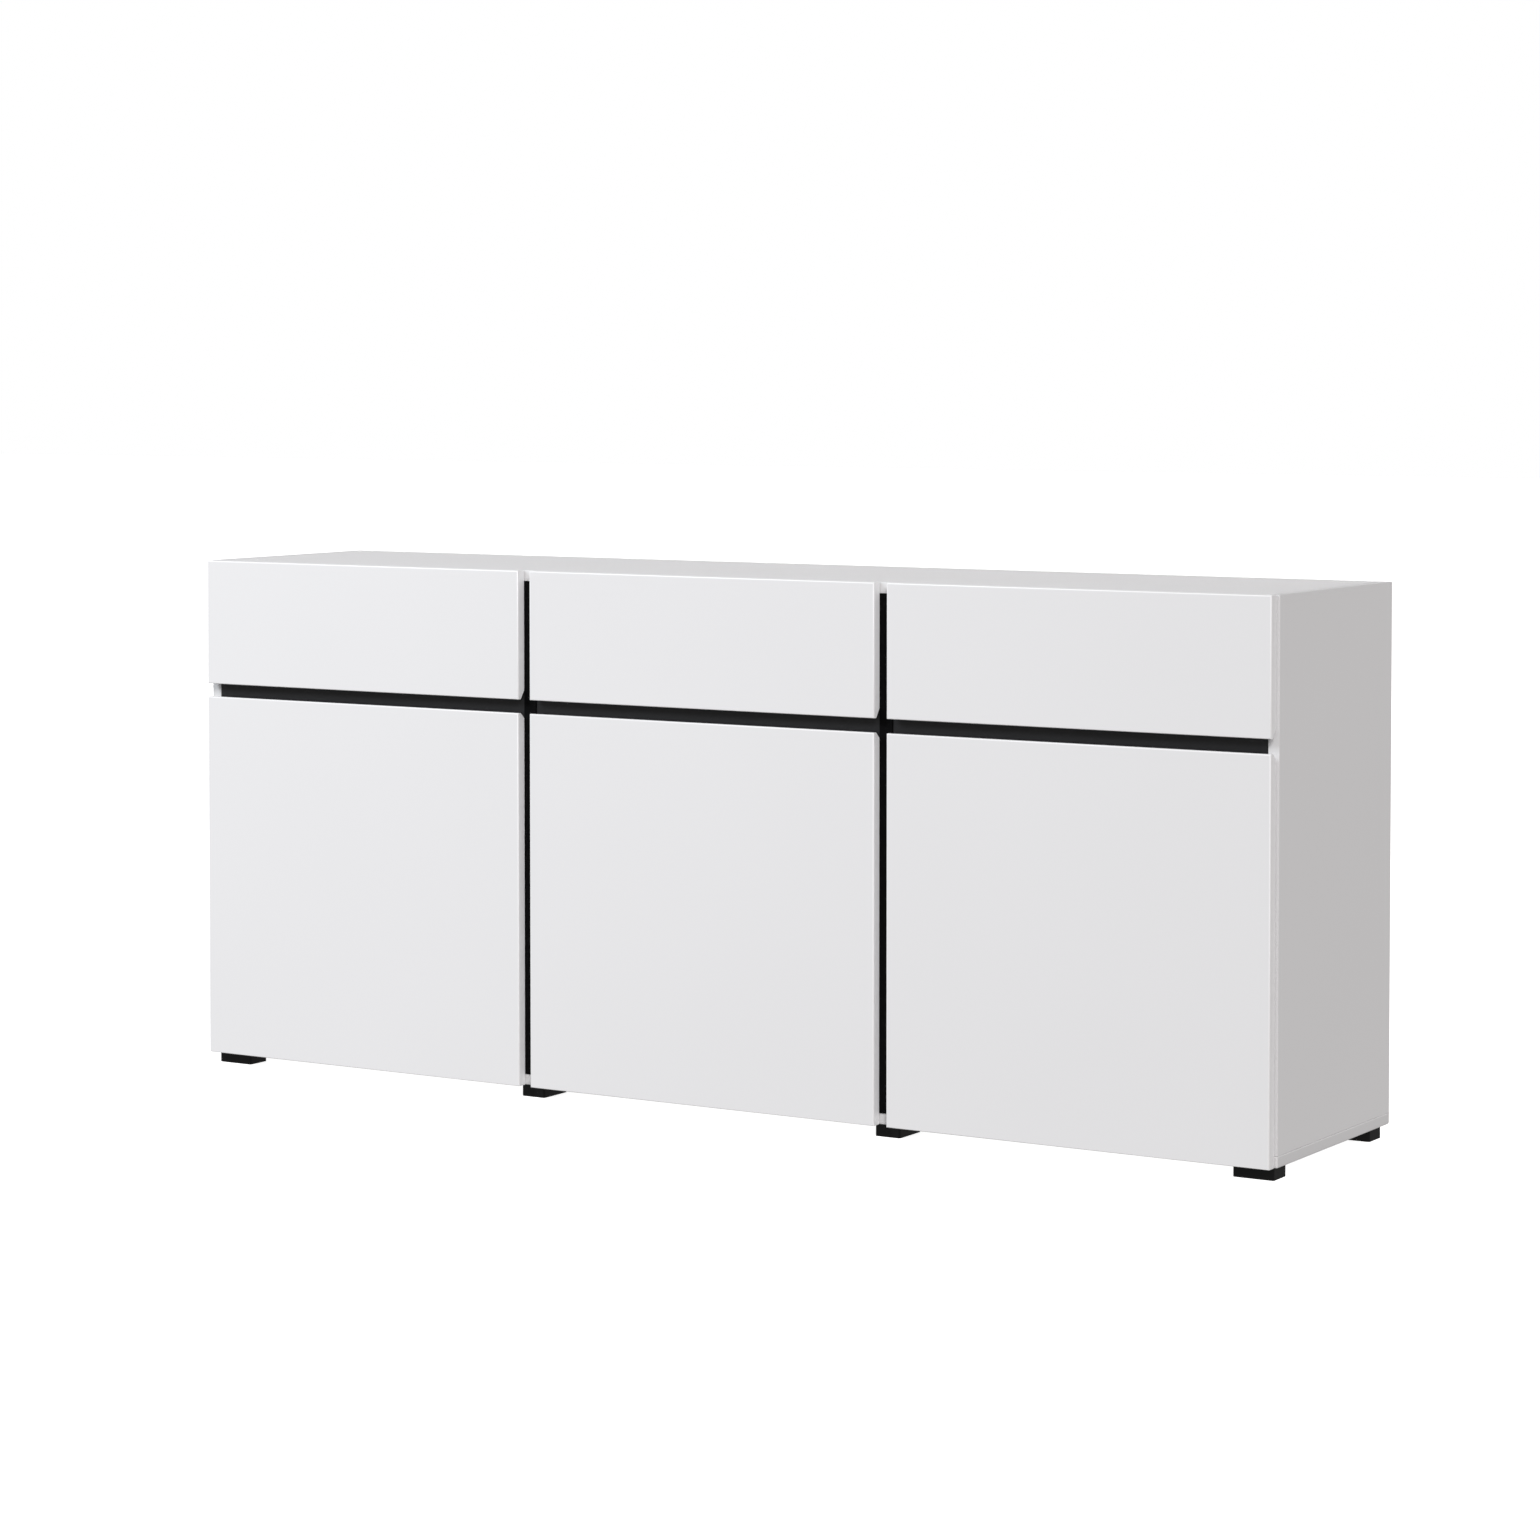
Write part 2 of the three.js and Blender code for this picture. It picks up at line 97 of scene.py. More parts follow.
class Bay(Enum):
    """The three columns of the sideboard."""

    LEFT = "left"
    CENTRE = "centre"
    RIGHT = "right"

    @property
    def hangs_on(self) -> Side:
        """The side that this column's door is hinged on."""
        return Side.RIGHT if self is Bay.RIGHT else Side.LEFT

    @property
    def walls(self) -> tuple[str, str]:
        """The CAD nodes of the boards to the left and to the right of this column."""
        at = list(Bay).index(self)
        return UPRIGHTS[at], UPRIGHTS[at + 1]


class Level(Enum):
    """A door's two hinges."""

    LOWER = "lower"
    UPPER = "upper"


class Slot(Enum):
    """The record's material slots."""

    WHITE_BOARD = "white_melamine"
    BLACK_BOARD = "black_laminate"
    BLACK_PLASTIC = "black_plastic"
    DRAWER_BOARD = "drawer_board"
    HARDBOARD = "white_hardboard"
    WHITE_STEEL = "white_steel"
    NICKEL = "nickel_steel"


# Finishes


def linear(code: str) -> tuple[float, float, float, float]:
    """An sRGB hex colour as linear red, green, blue and full alpha.

    Args:
        code: six hex digits after a hash sign.

    Returns:
        The four values that a colour socket takes.
    """
    shares = [int(code[place : place + 2], 16) / 255 for place in (1, 3, 5)]
    red, green, blue = (s / 12.92 if s <= 0.04045 else ((s + 0.055) / 1.055) ** 2.4 for s in shares)
    return red, green, blue, 1.0


def add_node(
    tree: bpy.types.NodeTree,
    kind: str,
    inputs: dict | None = None,
    **settings: object,
) -> bpy.types.Node:
    """Adds a node with its settings, values and links.

    Args:
        tree: the node tree that takes the node.
        kind: the node's Blender type.
        inputs: for each input, by name or number, a value or the output that feeds it.
        settings: the node's own properties.

    Returns:
        The new node.
    """
    node = tree.nodes.new(kind)
    for name, value in settings.items():
        setattr(node, name, value)
    for key, value in (inputs or {}).items():
        if isinstance(value, Socket):
            tree.links.new(value, node.inputs[key])
        else:
            node.inputs[key].default_value = value
    return node


@dataclass(frozen=True)
class Finish:
    """A real material with a fine grain and slow changes of tone.

    The grain gives the relief and the changes of gloss. Its spacing and height are in millimetres.
    """

    name: str
    colour: str
    tone: str  # the colour that the clouds fade to
    cloud: float  # millimetres from one cloud to the next
    grain: float
    relief: float
    gloss: tuple[float, float]  # roughness in the hollows and on the peaks
    ior: float = 1.5
    metallic: float = 0.0

    def material(self) -> bpy.types.Material:
        """The finish as a material, made when it is first asked for.

        Returns:
            The material.
        """
        made = bpy.data.materials.get(self.name)
        if made is None:
            made = bpy.data.materials.new(self.name)
            made.use_nodes = True
            self._wire(made.node_tree)
        return made

    def height(self, tree: bpy.types.NodeTree, place: Socket) -> Socket:
        """The grain's height, from 0 to 1.

        Args:
            tree: the material's node tree.
            place: where on the object, in metres.

        Returns:
            The output that carries the height.
        """
        noise = {"Vector": place, "Scale": 1 / (self.grain * MM), "Detail": 3.0, "Roughness": 0.55}
        return add_node(tree, "ShaderNodeTexNoise", noise).outputs[0]

    def _wire(self, tree: bpy.types.NodeTree) -> None:
        """Fills a new material's tree.

        Args:
            tree: the tree to fill.
        """
        tree.nodes.clear()
        place = add_node(tree, "ShaderNodeTexCoord").outputs["Object"]
        clouds = {"Vector": place, "Scale": 1 / (self.cloud * MM), "Detail": 2.0}
        cloud = add_node(tree, "ShaderNodeTexNoise", clouds).outputs[0]
        colour = add_node(
            tree,
            "ShaderNodeMix",
            {0: cloud, 6: linear(self.colour), 7: linear(self.tone)},
            data_type="RGBA",
        ).outputs[2]
        height = self.height(tree, place)
        low, high = self.gloss
        spread = {"Value": height, "To Min": low, "To Max": high}
        rough = add_node(tree, "ShaderNodeMapRange", spread).outputs[0]
        bump = {"Height": height, "Distance": self.relief * MM, "Strength": 1.0}
        shader = add_node(
            tree,
            "ShaderNodeBsdfPrincipled",
            {
                "Base Color": colour,
                "Roughness": rough,
                "Normal": add_node(tree, "ShaderNodeBump", bump).outputs[0],
                "Metallic": self.metallic,
                "IOR": self.ior,
            },
        )
        add_node(tree, "ShaderNodeOutputMaterial", {"Surface": shader.outputs[0]})


@dataclass(frozen=True)
class SparkedPlastic(Finish):
    """Plastic moulded in a spark-eroded tool, whose surface is all small craters."""

    def height(self, tree: bpy.types.NodeTree, place: Socket) -> Socket:
        """The craters' height: low in the middle of each and high on the rims."""
        cells = {"Vector": place, "Scale": 1 / (self.grain * MM), "Smoothness": 0.6}
        return add_node(tree, "ShaderNodeTexVoronoi", cells, feature="SMOOTH_F1").outputs["Distance"]


@dataclass(frozen=True)
class DrawnSurface(Finish):
    """A surface drawn or rolled along one axis, whose grain is stretched into lines."""

    stretch: tuple[float, float, float] = (1.0, 0.04, 1.0)

    def height(self, tree: bpy.types.NodeTree, place: Socket) -> Socket:
        """The draw lines' height."""
        drawn = add_node(tree, "ShaderNodeMapping", {"Vector": place, "Scale": self.stretch}).outputs[0]
        return super().height(tree, drawn)


@dataclass(frozen=True)
class ScreenedBoard(Finish):
    """Wet-pressed hardboard's back, which keeps the print of the wire screen under the press."""

    def height(self, tree: bpy.types.NodeTree, place: Socket) -> Socket:
        """The print's height: two sets of ribs, one across the other.

        Args:
            tree: the material's node tree.
            place: where on the object, in metres.

        Returns:
            The output that carries the height.
        """
        scale = math.pi / (10 * self.grain * MM)  # the wave node repeats every tenth of pi at scale 1
        ribs = [
            add_node(
                tree,
                "ShaderNodeTexWave",
                {"Vector": place, "Scale": scale, "Distortion": 0.6, "Detail": 1.0},
                bands_direction=axis,
            ).outputs["Fac"]
            for axis in ("X", "Z")
        ]
        return add_node(tree, "ShaderNodeMath", {0: ribs[0], 1: ribs[1]}, operation="MULTIPLY").outputs[0]


# Melamine-faced chipboard, pressed against a pearl plate: matt, with a soft hammered grain that only
# shows near to. The clouds are the slight unevenness of a printed plain decor.
WHITE_MELAMINE = Finish("white melamine, pearl pressed", "#eeeeef", "#ebebec", 420, 1.6, 0.010, (0.42, 0.56))
# The same board made in black: its pearl catches a little more light than the white one's.
BLACK_MELAMINE = Finish("black melamine, pearl pressed", "#1a1a1c", "#1e1e20", 300, 1.6, 0.012, (0.38, 0.54))
# ABS band, extruded, glued on and scraped flush: a shade smoother than the board's face.
WHITE_BAND = Finish("white ABS edge band, scraped", "#e7e7e8", "#e4e4e5", 260, 0.9, 0.006, (0.34, 0.44), 1.52)
# The thick band of the fronts, whose round edge is buffed: the smoothest surface. It is also the whitest,
# which is painted light: lighter than the board's face, so that the fronts' side faces in the shaded gaps
# between them read lit.
FRONT_BAND_PAINTED_LIGHT = Finish("white ABS front band, buffed", "#f8f8f9", "#f5f5f6", 260, 0.9, 0.004, (0.3, 0.4), 1.52)
BLACK_BAND = Finish("black ABS edge band, scraped", "#0f0f10", "#131314", 260, 0.9, 0.006, (0.34, 0.46), 1.52)
# Hard PVC strip, extruded with a dead matt black skin that hardly reflects, so its IOR is low. Its black is
# darker than the rail's and the bands': partly the strip's own black, partly painted shade for the deep shade
# of the narrow gaps between the fronts.
BLACK_STRIP_AND_GAP_SHADE = DrawnSurface(
    "black PVC strip, extruded",
    "#040405",
    "#070708",
    200,
    0.8,
    0.010,
    (0.56, 0.72),
    1.2,
    stretch=(1.0, 1.0, 0.03),
)
# Raw chipboard in drilled holes and on cut edges: pale straw colour and rough.
CHIPBOARD = Finish("chipboard, cut", "#c2a87e", "#9c8058", 4, 2.0, 0.25, (0.75, 0.95))
# Feet of polypropylene, moulded with a fine spark-eroded skin: deep black with a satin bloom.
BLACK_POLYPROPYLENE = SparkedPlastic(
    "black polypropylene, moulded", "#080808", "#0d0d0e", 40, 0.7, 0.05, (0.42, 0.6), 1.4
)
# Drawer boards wrapped in foil, with faint lines from the wrapping rollers along the board.
WRAPPED_FOIL = DrawnSurface("white foil, wrapped", "#e8e8e8", "#e3e3e3", 300, 1.2, 0.010, (0.36, 0.48))
# Hardboard lacquered white: the smooth face has a slight orange peel, the back keeps the screen's print,
# drawn twice as coarse as the real two millimetres so that it shows.
LACQUERED_HARDBOARD = Finish(
    "white hardboard, roller lacquered", "#e4e3de", "#dedcd6", 180, 2.2, 0.015, (0.4, 0.52)
)
SCREENED_HARDBOARD = ScreenedBoard(
    "white hardboard, screen back", "#e2e0da", "#dddbd4", 140, 4.0, 0.10, (0.62, 0.8)
)
# Steel slides with baked white powder, which flows into a soft orange peel.
POWDER_COAT = Finish("white powder coat on steel", "#e6e6e4", "#e1e1de", 90, 1.1, 0.012, (0.26, 0.38), 1.5)
# Pressed steel with bright nickel: nearly neutral, with fine rolling lines under the plating. Its colour is
# partly painted light: lighter and more neutral than nickel's own, so that the metal keeps its brightness
# under the dim surround.
NICKEL_PLATE = DrawnSurface(
    "nickel plate on rolled steel", "#dedad3", "#d3cfc8", 14, 0.5, 0.003, (0.22, 0.34), metallic=1.0
)
# Zinc-plated screws, a little bluer and duller than the hinges.
ZINC_PLATE = Finish(
    "zinc plate on cold-headed steel", "#cfd2d5", "#c2c5c9", 3, 0.4, 0.006, (0.28, 0.42), metallic=1.0
)
# Slide rollers, turned from natural nylon.
NYLON = Finish("natural nylon, moulded", "#dcdad0", "#d4d1c6", 8, 0.5, 0.006, (0.3, 0.42), 1.53)
# Soft silicone buffers, and the white caps over the cam fittings.
SILICONE = Finish("clear silicone, cast", "#d3d5d4", "#c9cccb", 5, 0.6, 0.004, (0.18, 0.3), 1.41)
WHITE_CAP = Finish("white polystyrene, moulded", "#e9e9ea", "#e5e5e6", 20, 0.6, 0.008, (0.3, 0.42), 1.59)


# Modelling


def deselect() -> None:
    """Leaves object mode on, with nothing selected."""
    if bpy.context.mode != "OBJECT":
        bpy.ops.object.mode_set(mode="OBJECT")
    bpy.ops.object.select_all(action="DESELECT")


def pick(piece: Piece) -> None:
    """Makes one piece the only selected one, and the active one.

    Args:
        piece: the piece to work on.
    """
    deselect()
    piece.select_set(True)
    bpy.context.view_layer.objects.active = piece


def settle(name: str, finishes: Sequence[Finish]) -> Piece:
    """Names the primitive just added, moves its place into its mesh and gives it its finishes.

    Args:
        name: the piece's name.
        finishes: what its faces may be made of, the first being the usual one.

    Returns:
        The piece.
    """
    piece = bpy.context.object
    bpy.ops.object.transform_apply(location=True, rotation=True, scale=True)
    piece.name = piece.data.name = name
    for finish in finishes:
        piece.data.materials.append(finish.material())
    return piece


def block(name: str, low: Point, high: Point, *finishes: Finish) -> Piece:
    """A block between two corners, to be shaped further.

    Args:
        name: the piece's name.
        low: the lowest corner.
        high: the highest corner.
        finishes: the block's finishes.

    Returns:
        The block.
    """
    low, high = Vector(low), Vector(high)
    deselect()
    bpy.ops.mesh.primitive_cube_add(size=1, location=(low + high) / 2, scale=high - low)
    return settle(name, finishes)


def rod(name: str, radius: float, start: Point, end: Point, *finishes: Finish, sides: int = 24) -> Piece:
    """A round bar between two points, to be shaped further.

    Args:
        name: the piece's name.
        radius: the bar's radius.
        start: the middle of one end.
        end: the middle of the other end.
        finishes: the bar's finishes.
        sides: how many flats stand for the round.

    Returns:
        The bar.
    """
    start, end = Vector(start), Vector(end)
    along = end - start
    deselect()
    bpy.ops.mesh.primitive_cylinder_add(
        vertices=sides,
        radius=radius,
        depth=along.length,
        location=(start + end) / 2,
        rotation=along.to_track_quat("Z", "Y").to_euler(),
    )
    return settle(name, finishes)


@contextmanager
def faces_of(piece: Piece, wanted: FaceTest | None = None) -> Iterator[None]:
    """Edit mode on one piece with some of its faces selected, and object mode again afterwards.

    Args:
        piece: the piece to edit.
        wanted: says whether a face is wanted. Without it all are.

    Yields:
        Nothing.
    """
    pick(piece)
    bpy.ops.object.mode_set(mode="EDIT")
    bpy.ops.mesh.select_mode(type="FACE")
    bpy.ops.mesh.select_all(action="DESELECT" if wanted else "SELECT")
    if wanted:
        bpy.ops.object.mode_set(mode="OBJECT")
        for face in piece.data.polygons:
            face.select = wanted(face)
        bpy.ops.object.mode_set(mode="EDIT")
    yield
    bpy.ops.object.mode_set(mode="OBJECT")


def facing(axis: int, sign: int) -> FaceTest:
    """A test for faces that look along an axis.

    Args:
        axis: X, Y or Z.
        sign: +1 or -1 for the way they look.

    Returns:
        The test.
    """
    return lambda face: face.normal[axis] * sign > SQUARE_ON


def across(axis: int) -> FaceTest:
    """A test for faces that look neither way along an axis."""
    return lambda face: abs(face.normal[axis]) <= SQUARE_ON


def unit(axis: int, sign: int) -> Vector:
    """The vector one long that points along an axis, or against it."""
    return Vector([sign if way == axis else 0 for way in range(3)])


def evenly(start: float, end: float, step: float) -> list[float]:
    """Evenly spaced places.

    Args:
        start: the first place.
        end: the last place.
        step: about how far apart they are.

    Returns:
        All the places, with the first and the last.
    """
    count = round((end - start) / step)
    return [start + (end - start) * at / count for at in range(count + 1)]


def cut(piece: Piece, point: Point, normal: Point, drop: bool = False) -> None:
    """Cuts a piece along a plane.

    Args:
        piece: the piece to cut.
        point: a point on the plane.
        normal: the plane's normal.
        drop: takes away what lies on the normal's side, and closes the cut.
    """
    plane = {"plane_co": point, "plane_no": Vector(normal).normalized()}
    with faces_of(piece):
        bpy.ops.mesh.bisect(**plane, use_fill=drop, clear_outer=drop, threshold=1e-6)


def paint(piece: Piece, index: int, wanted: FaceTest) -> None:
    """Gives some faces another of the piece's finishes.

    Args:
        piece: the piece.
        index: the finish's place in the piece's list.
        wanted: says which faces take it.
    """
    for face in piece.data.polygons:
        if wanted(face):
            face.material_index = index


def apply_modifiers(piece: Piece) -> None:
    """Applies a piece's modifiers from the top down.

    Args:
        piece: the piece.
    """
    pick(piece)
    for modifier in list(piece.modifiers):
        bpy.ops.object.modifier_apply(modifier=modifier.name)


def carve(piece: Piece, tools: Iterable[Piece], operation: str = "DIFFERENCE") -> None:
    """Takes tools out of a piece, or adds them to it, and removes the tools.

    Args:
        piece: the piece to change.
        tools: closed shapes.
        operation: the Boolean modifier's operation.
    """
    for tool in tools:
        boolean = piece.modifiers.new("carve", "BOOLEAN")
        boolean.object, boolean.operation, boolean.solver = tool, operation, "EXACT"
        apply_modifiers(piece)
        bpy.data.objects.remove(tool, do_unlink=True)


def join(name: str, parts: Sequence[Piece]) -> Piece:
    """Makes several meshes one piece.

    Args:
        name: the joined piece's name.
        parts: the meshes, all with the same finishes.

    Returns:
        The joined piece.
    """
    pick(parts[0])
    for part in parts:
        part.select_set(True)
    bpy.ops.object.join()
    parts[0].name = parts[0].data.name = name
    return parts[0]


def copies(master: Piece, name: str, places: Iterable[Point]) -> Piece:
    """A master made about the origin, repeated at several places and joined. The master is used up.

    Args:
        master: the shape to repeat.
        name: the joined piece's name.
        places: where each copy's origin goes.

    Returns:
        The joined piece.
    """
    made = []
    for place in places:
        copy = master.copy()
        copy.data = master.data.copy()
        bpy.context.collection.objects.link(copy)
        pick(copy)
        bpy.ops.transform.translate(value=place)
        bpy.ops.object.transform_apply(location=True, rotation=True, scale=True)
        made.append(copy)
    bpy.data.objects.remove(master, do_unlink=True)
    return join(name, made)


def soften(piece: Piece, radius: float, segments: int = 2, sharp: float = 50.0) -> None:
    """Rounds a piece's sharp edges and shades it smoothly, with its flats kept flat.

    Args:
        piece: the piece.
        radius: the edges' radius.
        segments: flats in each rounded edge.
        sharp: the angle, in degrees, past which an edge counts as sharp.
    """
    bevel = piece.modifiers.new("soft edges", "BEVEL")
    bevel.width, bevel.segments = radius, segments
    bevel.limit_method, bevel.angle_limit = "ANGLE", math.radians(sharp)
    piece.modifiers.new("flat faces", "WEIGHTED_NORMAL").keep_sharp = True
    pick(piece)
    bpy.ops.object.shade_smooth()
    apply_modifiers(piece)


def shade(piece: Piece, angle: float = 35.0) -> None:
    """Shades a piece smoothly but for its edges past an angle.

    Args:
        piece: the piece.
        angle: the angle, in degrees.
    """
    pick(piece)
    bpy.ops.object.shade_smooth_by_angle(angle=math.radians(angle))


def fit(piece: Piece, body: str, slot: Slot, *stands_for: str) -> Piece:
    """Makes a finished piece ride on its body and logs it.

    Args:
        piece: the piece.
        body: the CAD body that carries it.
        slot: not used.
        stands_for: the CAD nodes that it replaces.

    Returns:
        The piece.
    """
    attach(piece, body)
    if stands_for:
        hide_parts(*stands_for)
    LOG.info("%s rides on %s", piece.name, body)
    return piece


def middle_x(node: str) -> float:
    """The X halfway across a CAD node."""
    low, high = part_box(node)
    return (low.x + high.x) / 2


def keep_node(node: str, finish: Finish) -> None:
    """Gives a CAD node that stays in view its finish.

    Args:
        node: the CAD node.
        finish: its finish.
    """
    for slot in bpy.context.scene.objects[node].material_slots:
        slot.material = finish.material()
    LOG.info("%s stays, in %s", node, finish.name)


# Fittings that repeat


@dataclass(frozen=True)
class Fittings:
    """Small parts that are modelled once and used in many places."""

    head_tall: float = 0.45  # share of its radius
    head_round: float = 0.55  # share of its height
    slot_long: float = 0.55  # half its length, as a share of the head's radius
    slot_wide: float = 0.13  # half its width, as a share of the head's radius
    slot_deep: float = 0.6  # at most this share of the head's height
    slot_depth: float = 0.9 * MM
    cap_round: float = 0.6  # share of its height

    def screw_head(self, name: str, radius: float, axis: int, sign: int, finish: Finish) -> Piece:
        """A low screw head with a cross recess, its foot at the origin.

        Args:
            name: the master's name.
            radius: the head's radius.
            axis: X, Y or Z, the line that the head looks along.
            sign: +1 or -1 along that axis.
            finish: the head's finish.

        Returns:
            The head.
        """
        up = unit(axis, sign)
        tall = radius * self.head_tall
        head = rod(name, radius, -up * OVERLAP, up * tall, finish, sides=20)
        with faces_of(head, facing(axis, sign)):
            bpy.ops.mesh.bevel(offset=tall * self.head_round, segments=2, affect="EDGES")
        for way in (other for other in range(3) if other != axis):
            half = Vector([radius * self.slot_wide] * 3)
            half[way] = radius * self.slot_long
            half[axis] = min(self.slot_depth, tall * self.slot_deep)
            carve(head, [block("slot", up * tall - half, up * tall + half)])
        shade(head, 30)
        return head

    def cap(self, name: str, radius: float, tall: float, axis: int, sign: int, finish: Finish) -> Piece:
        """A round cap with a soft rim, its foot at the origin.

        Args:
            name: the master's name.
            radius: the cap's radius.
            tall: how far the cap stands off its board.
            axis: X, Y or Z, the line that the cap looks along.
            sign: +1 or -1 along that axis.
            finish: the cap's finish.

        Returns:
            The cap.
        """
        up = unit(axis, sign)
        cap = rod(name, radius, -up * OVERLAP, up * tall, finish, sides=28)
        with faces_of(cap, facing(axis, sign)):
            bpy.ops.mesh.bevel(offset=tall * self.cap_round, segments=3, affect="EDGES")
        shade(cap, 30)
        return cap


FITTINGS = Fittings()


# Carcass


@dataclass
class Carcass:
    """The fixed boards, with their bands, drilled holes, back and visible fittings."""

    edge: float = 0.35 * MM
    floor_edge: float = 1.8 * MM  # the floor board's thick bands are rounded
    # wider than the partition: past the partition's sides the strip is a dark sheet standing in for the shade
    # in the gap
    trim_wide: float = 21 * MM
    trim_thick: float = 1.5 * MM
    trim_edge: float = 0.4 * MM
    hole_step: float = 32 * MM  # spacing of drilled rows
    hole_inset: float = 50 * MM  # from a board's front or rear edge to a row of holes
    hole_depth: float = 10 * MM
    holes_each_way: int = 2
    notch_play: float = 0.1 * MM
    cap_radius: float = 9 * MM
    cap_tall: float = 0.8 * MM
    cap_inset: float = 60 * MM
    cap_rise: float = 34 * MM  # above the floor board
    nail_radius: float = 3.2 * MM
    nail_tall: float = 0.6 * MM
    nail_step: float = 140 * MM
    nail_inset: float = 7 * MM
    nail_past_fold: float = 5 * MM
    screw_radius: float = 3.5 * MM
    screw_rows: tuple[float, ...] = (0.25, 0.5, 0.75)  # shares of the floor board's depth
    fold_width: float = 1.6 * MM
    fold_depth: float = 0.9 * MM

    def build(self) -> None:
        """Makes every fixed board and fitting."""
        self.plain_board("top_panel", self.edge)
        self.plain_board("bottom_panel", self.floor_edge)
        for side in Side:
            self.drilled_board(f"side_panel_{side.label}", WHITE_BAND, (-side.value,))
            self.drilled_board(f"partition_{side.label}", BLACK_BAND, (-1, 1))
            self.trim(side)
        self.rail()
        self.back()
        self.caps()
        self.under_screws()

    def board(self, node: str, band: Finish) -> Piece:
        """A board in a CAD node's box, banded on its narrow faces.

        Args:
            node: the CAD node.
            band: what its front edge is banded with.

        Returns:
            The board, still with sharp edges.
        """
        low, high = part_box(node)
        made = block(f"{node}_board", low, high, WHITE_MELAMINE, band, CHIPBOARD, WHITE_BAND)
        thin = min(range(3), key=lambda axis: high[axis] - low[axis])
        paint(made, PLAIN_BAND, across(thin))
        paint(made, BAND, facing(Y, -1))
        return made

    def plain_board(self, node: str, edge: float) -> None:
        """A board with nothing drilled in it.

        Args:
            node: the CAD node that it replaces.
            edge: the radius of its edges.
        """
        made = self.board(node, WHITE_BAND)
        soften(made, edge, 3)
        fit(made, CARCASS, Slot.WHITE_BOARD, node)

    def hole_rows(self, node: str) -> list[tuple[float, float]]:
        """The Y and Z of a board's holes for shelf pins.

        Args:
            node: the board's CAD node.

        Returns:
            One pair for each hole.
        """
        low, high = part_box(node)
        pin_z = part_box("shelf_left")[0].z - PIN_HOLE
        rows = (low.y + self.hole_inset, high.y - self.hole_inset)
        steps = range(-self.holes_each_way, self.holes_each_way + 1)
        return [(y, pin_z + step * self.hole_step) for y in rows for step in steps]

    def drilled_board(self, node: str, band: Finish, faces: tuple[int, ...]) -> None:
        """An upright board with rows of holes for shelf pins, and a notch where the rail crosses it.

        Args:
            node: the CAD node that it replaces.
            band: its front edge band.
            faces: the faces with holes, as signs along X. With both, the holes go through.
        """
        made = self.board(node, band)
        low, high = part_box(node)
        start = high.x - self.hole_depth if faces == (1,) else low.x - MM
        end = low.x + self.hole_depth if faces == (-1,) else high.x + MM
        drills = [
            rod("drill", PIN_HOLE, (start, y, z), (end, y, z), *[CHIPBOARD] * 3, sides=16)
            for y, z in self.hole_rows(node)
        ]
        for drill in drills:
            paint(drill, CORE, lambda face: True)
        carve(made, [join("drills", drills)])
        if len(faces) > 1:
            rail_low, rail_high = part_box("channel_rail")
            play = self.notch_play
            foot = (low.x - MM, low.y - MM, rail_low.z - play)
            carve(made, [block("notch", foot, (high.x + MM, rail_high.y + play, rail_high.z + play))])
        soften(made, self.edge, 1, 60)
        fit(made, CARCASS, Slot.WHITE_BOARD, node)

    def trim(self, side: Side) -> None:
        """The black strip glued up the front of a partition, a little wider than the gap before it. Where it
        runs past the partition's sides it stands in for the shade in the gap, and its near-black colour is
        partly painted shade.

        Args:
            side: which partition.
        """
        partition = f"partition_{side.label}"
        low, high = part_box(partition)
        middle, half = middle_x(partition), self.trim_wide / 2
        # the strip's colour is partly painted shade: darker than the rail, for the deep shade in the gap
        # before it
        made = block(
            f"partition_trim_{side.label}",
            (middle - half, low.y - self.trim_thick, low.z),
            (middle + half, low.y + OVERLAP, high.z),
            BLACK_STRIP_AND_GAP_SHADE,
        )
        soften(made, self.trim_edge)
        fit(made, CARCASS, Slot.BLACK_BOARD)

    def rail(self) -> None:
        """The dark rail behind the grip channel."""
        low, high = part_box("channel_rail")
        made = block("channel_rail_board", low, high, BLACK_MELAMINE, BLACK_BAND)
        for sign in (-1, 1):
            paint(made, BAND, facing(Z, sign))
        soften(made, self.edge)
        fit(made, CARCASS, Slot.BLACK_BOARD, "channel_rail")

    def back(self) -> None:
        """The hardboard back, folded flat along two scored lines and nailed all round."""
        low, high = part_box("back_panel")
        rear = high.y - self.nail_tall
        made = block("back_panel_sheet", low, (high.x, rear, high.z), LACQUERED_HARDBOARD, SCREENED_HARDBOARD)
        folds = [middle_x(f"partition_{side.label}") for side in Side]
        for fold in folds:
            for shift in (-1, 0, 1):
                cut(made, (fold + shift * self.fold_width / 2, 0, 0), (1, 0, 0))
        for point in made.data.vertices:
            if point.co.y > rear - OVERLAP and min(abs(point.co.x - fold) for fold in folds) < OVERLAP:
                point.co.y -= self.fold_depth
        paint(made, REAR, lambda face: face.normal.y > 0.5)  # the slopes of the folds too
        shade(made, 20)
        fit(made, CARCASS, Slot.HARDBOARD, "back_panel")
        head = FITTINGS.cap("nail", self.nail_radius, self.nail_tall, Y, 1, ZINC_PLATE)
        places = self.nail_places(low, Vector((high.x, rear, high.z)), folds)
        fit(copies(head, "back_nails", places), CARCASS, Slot.NICKEL)

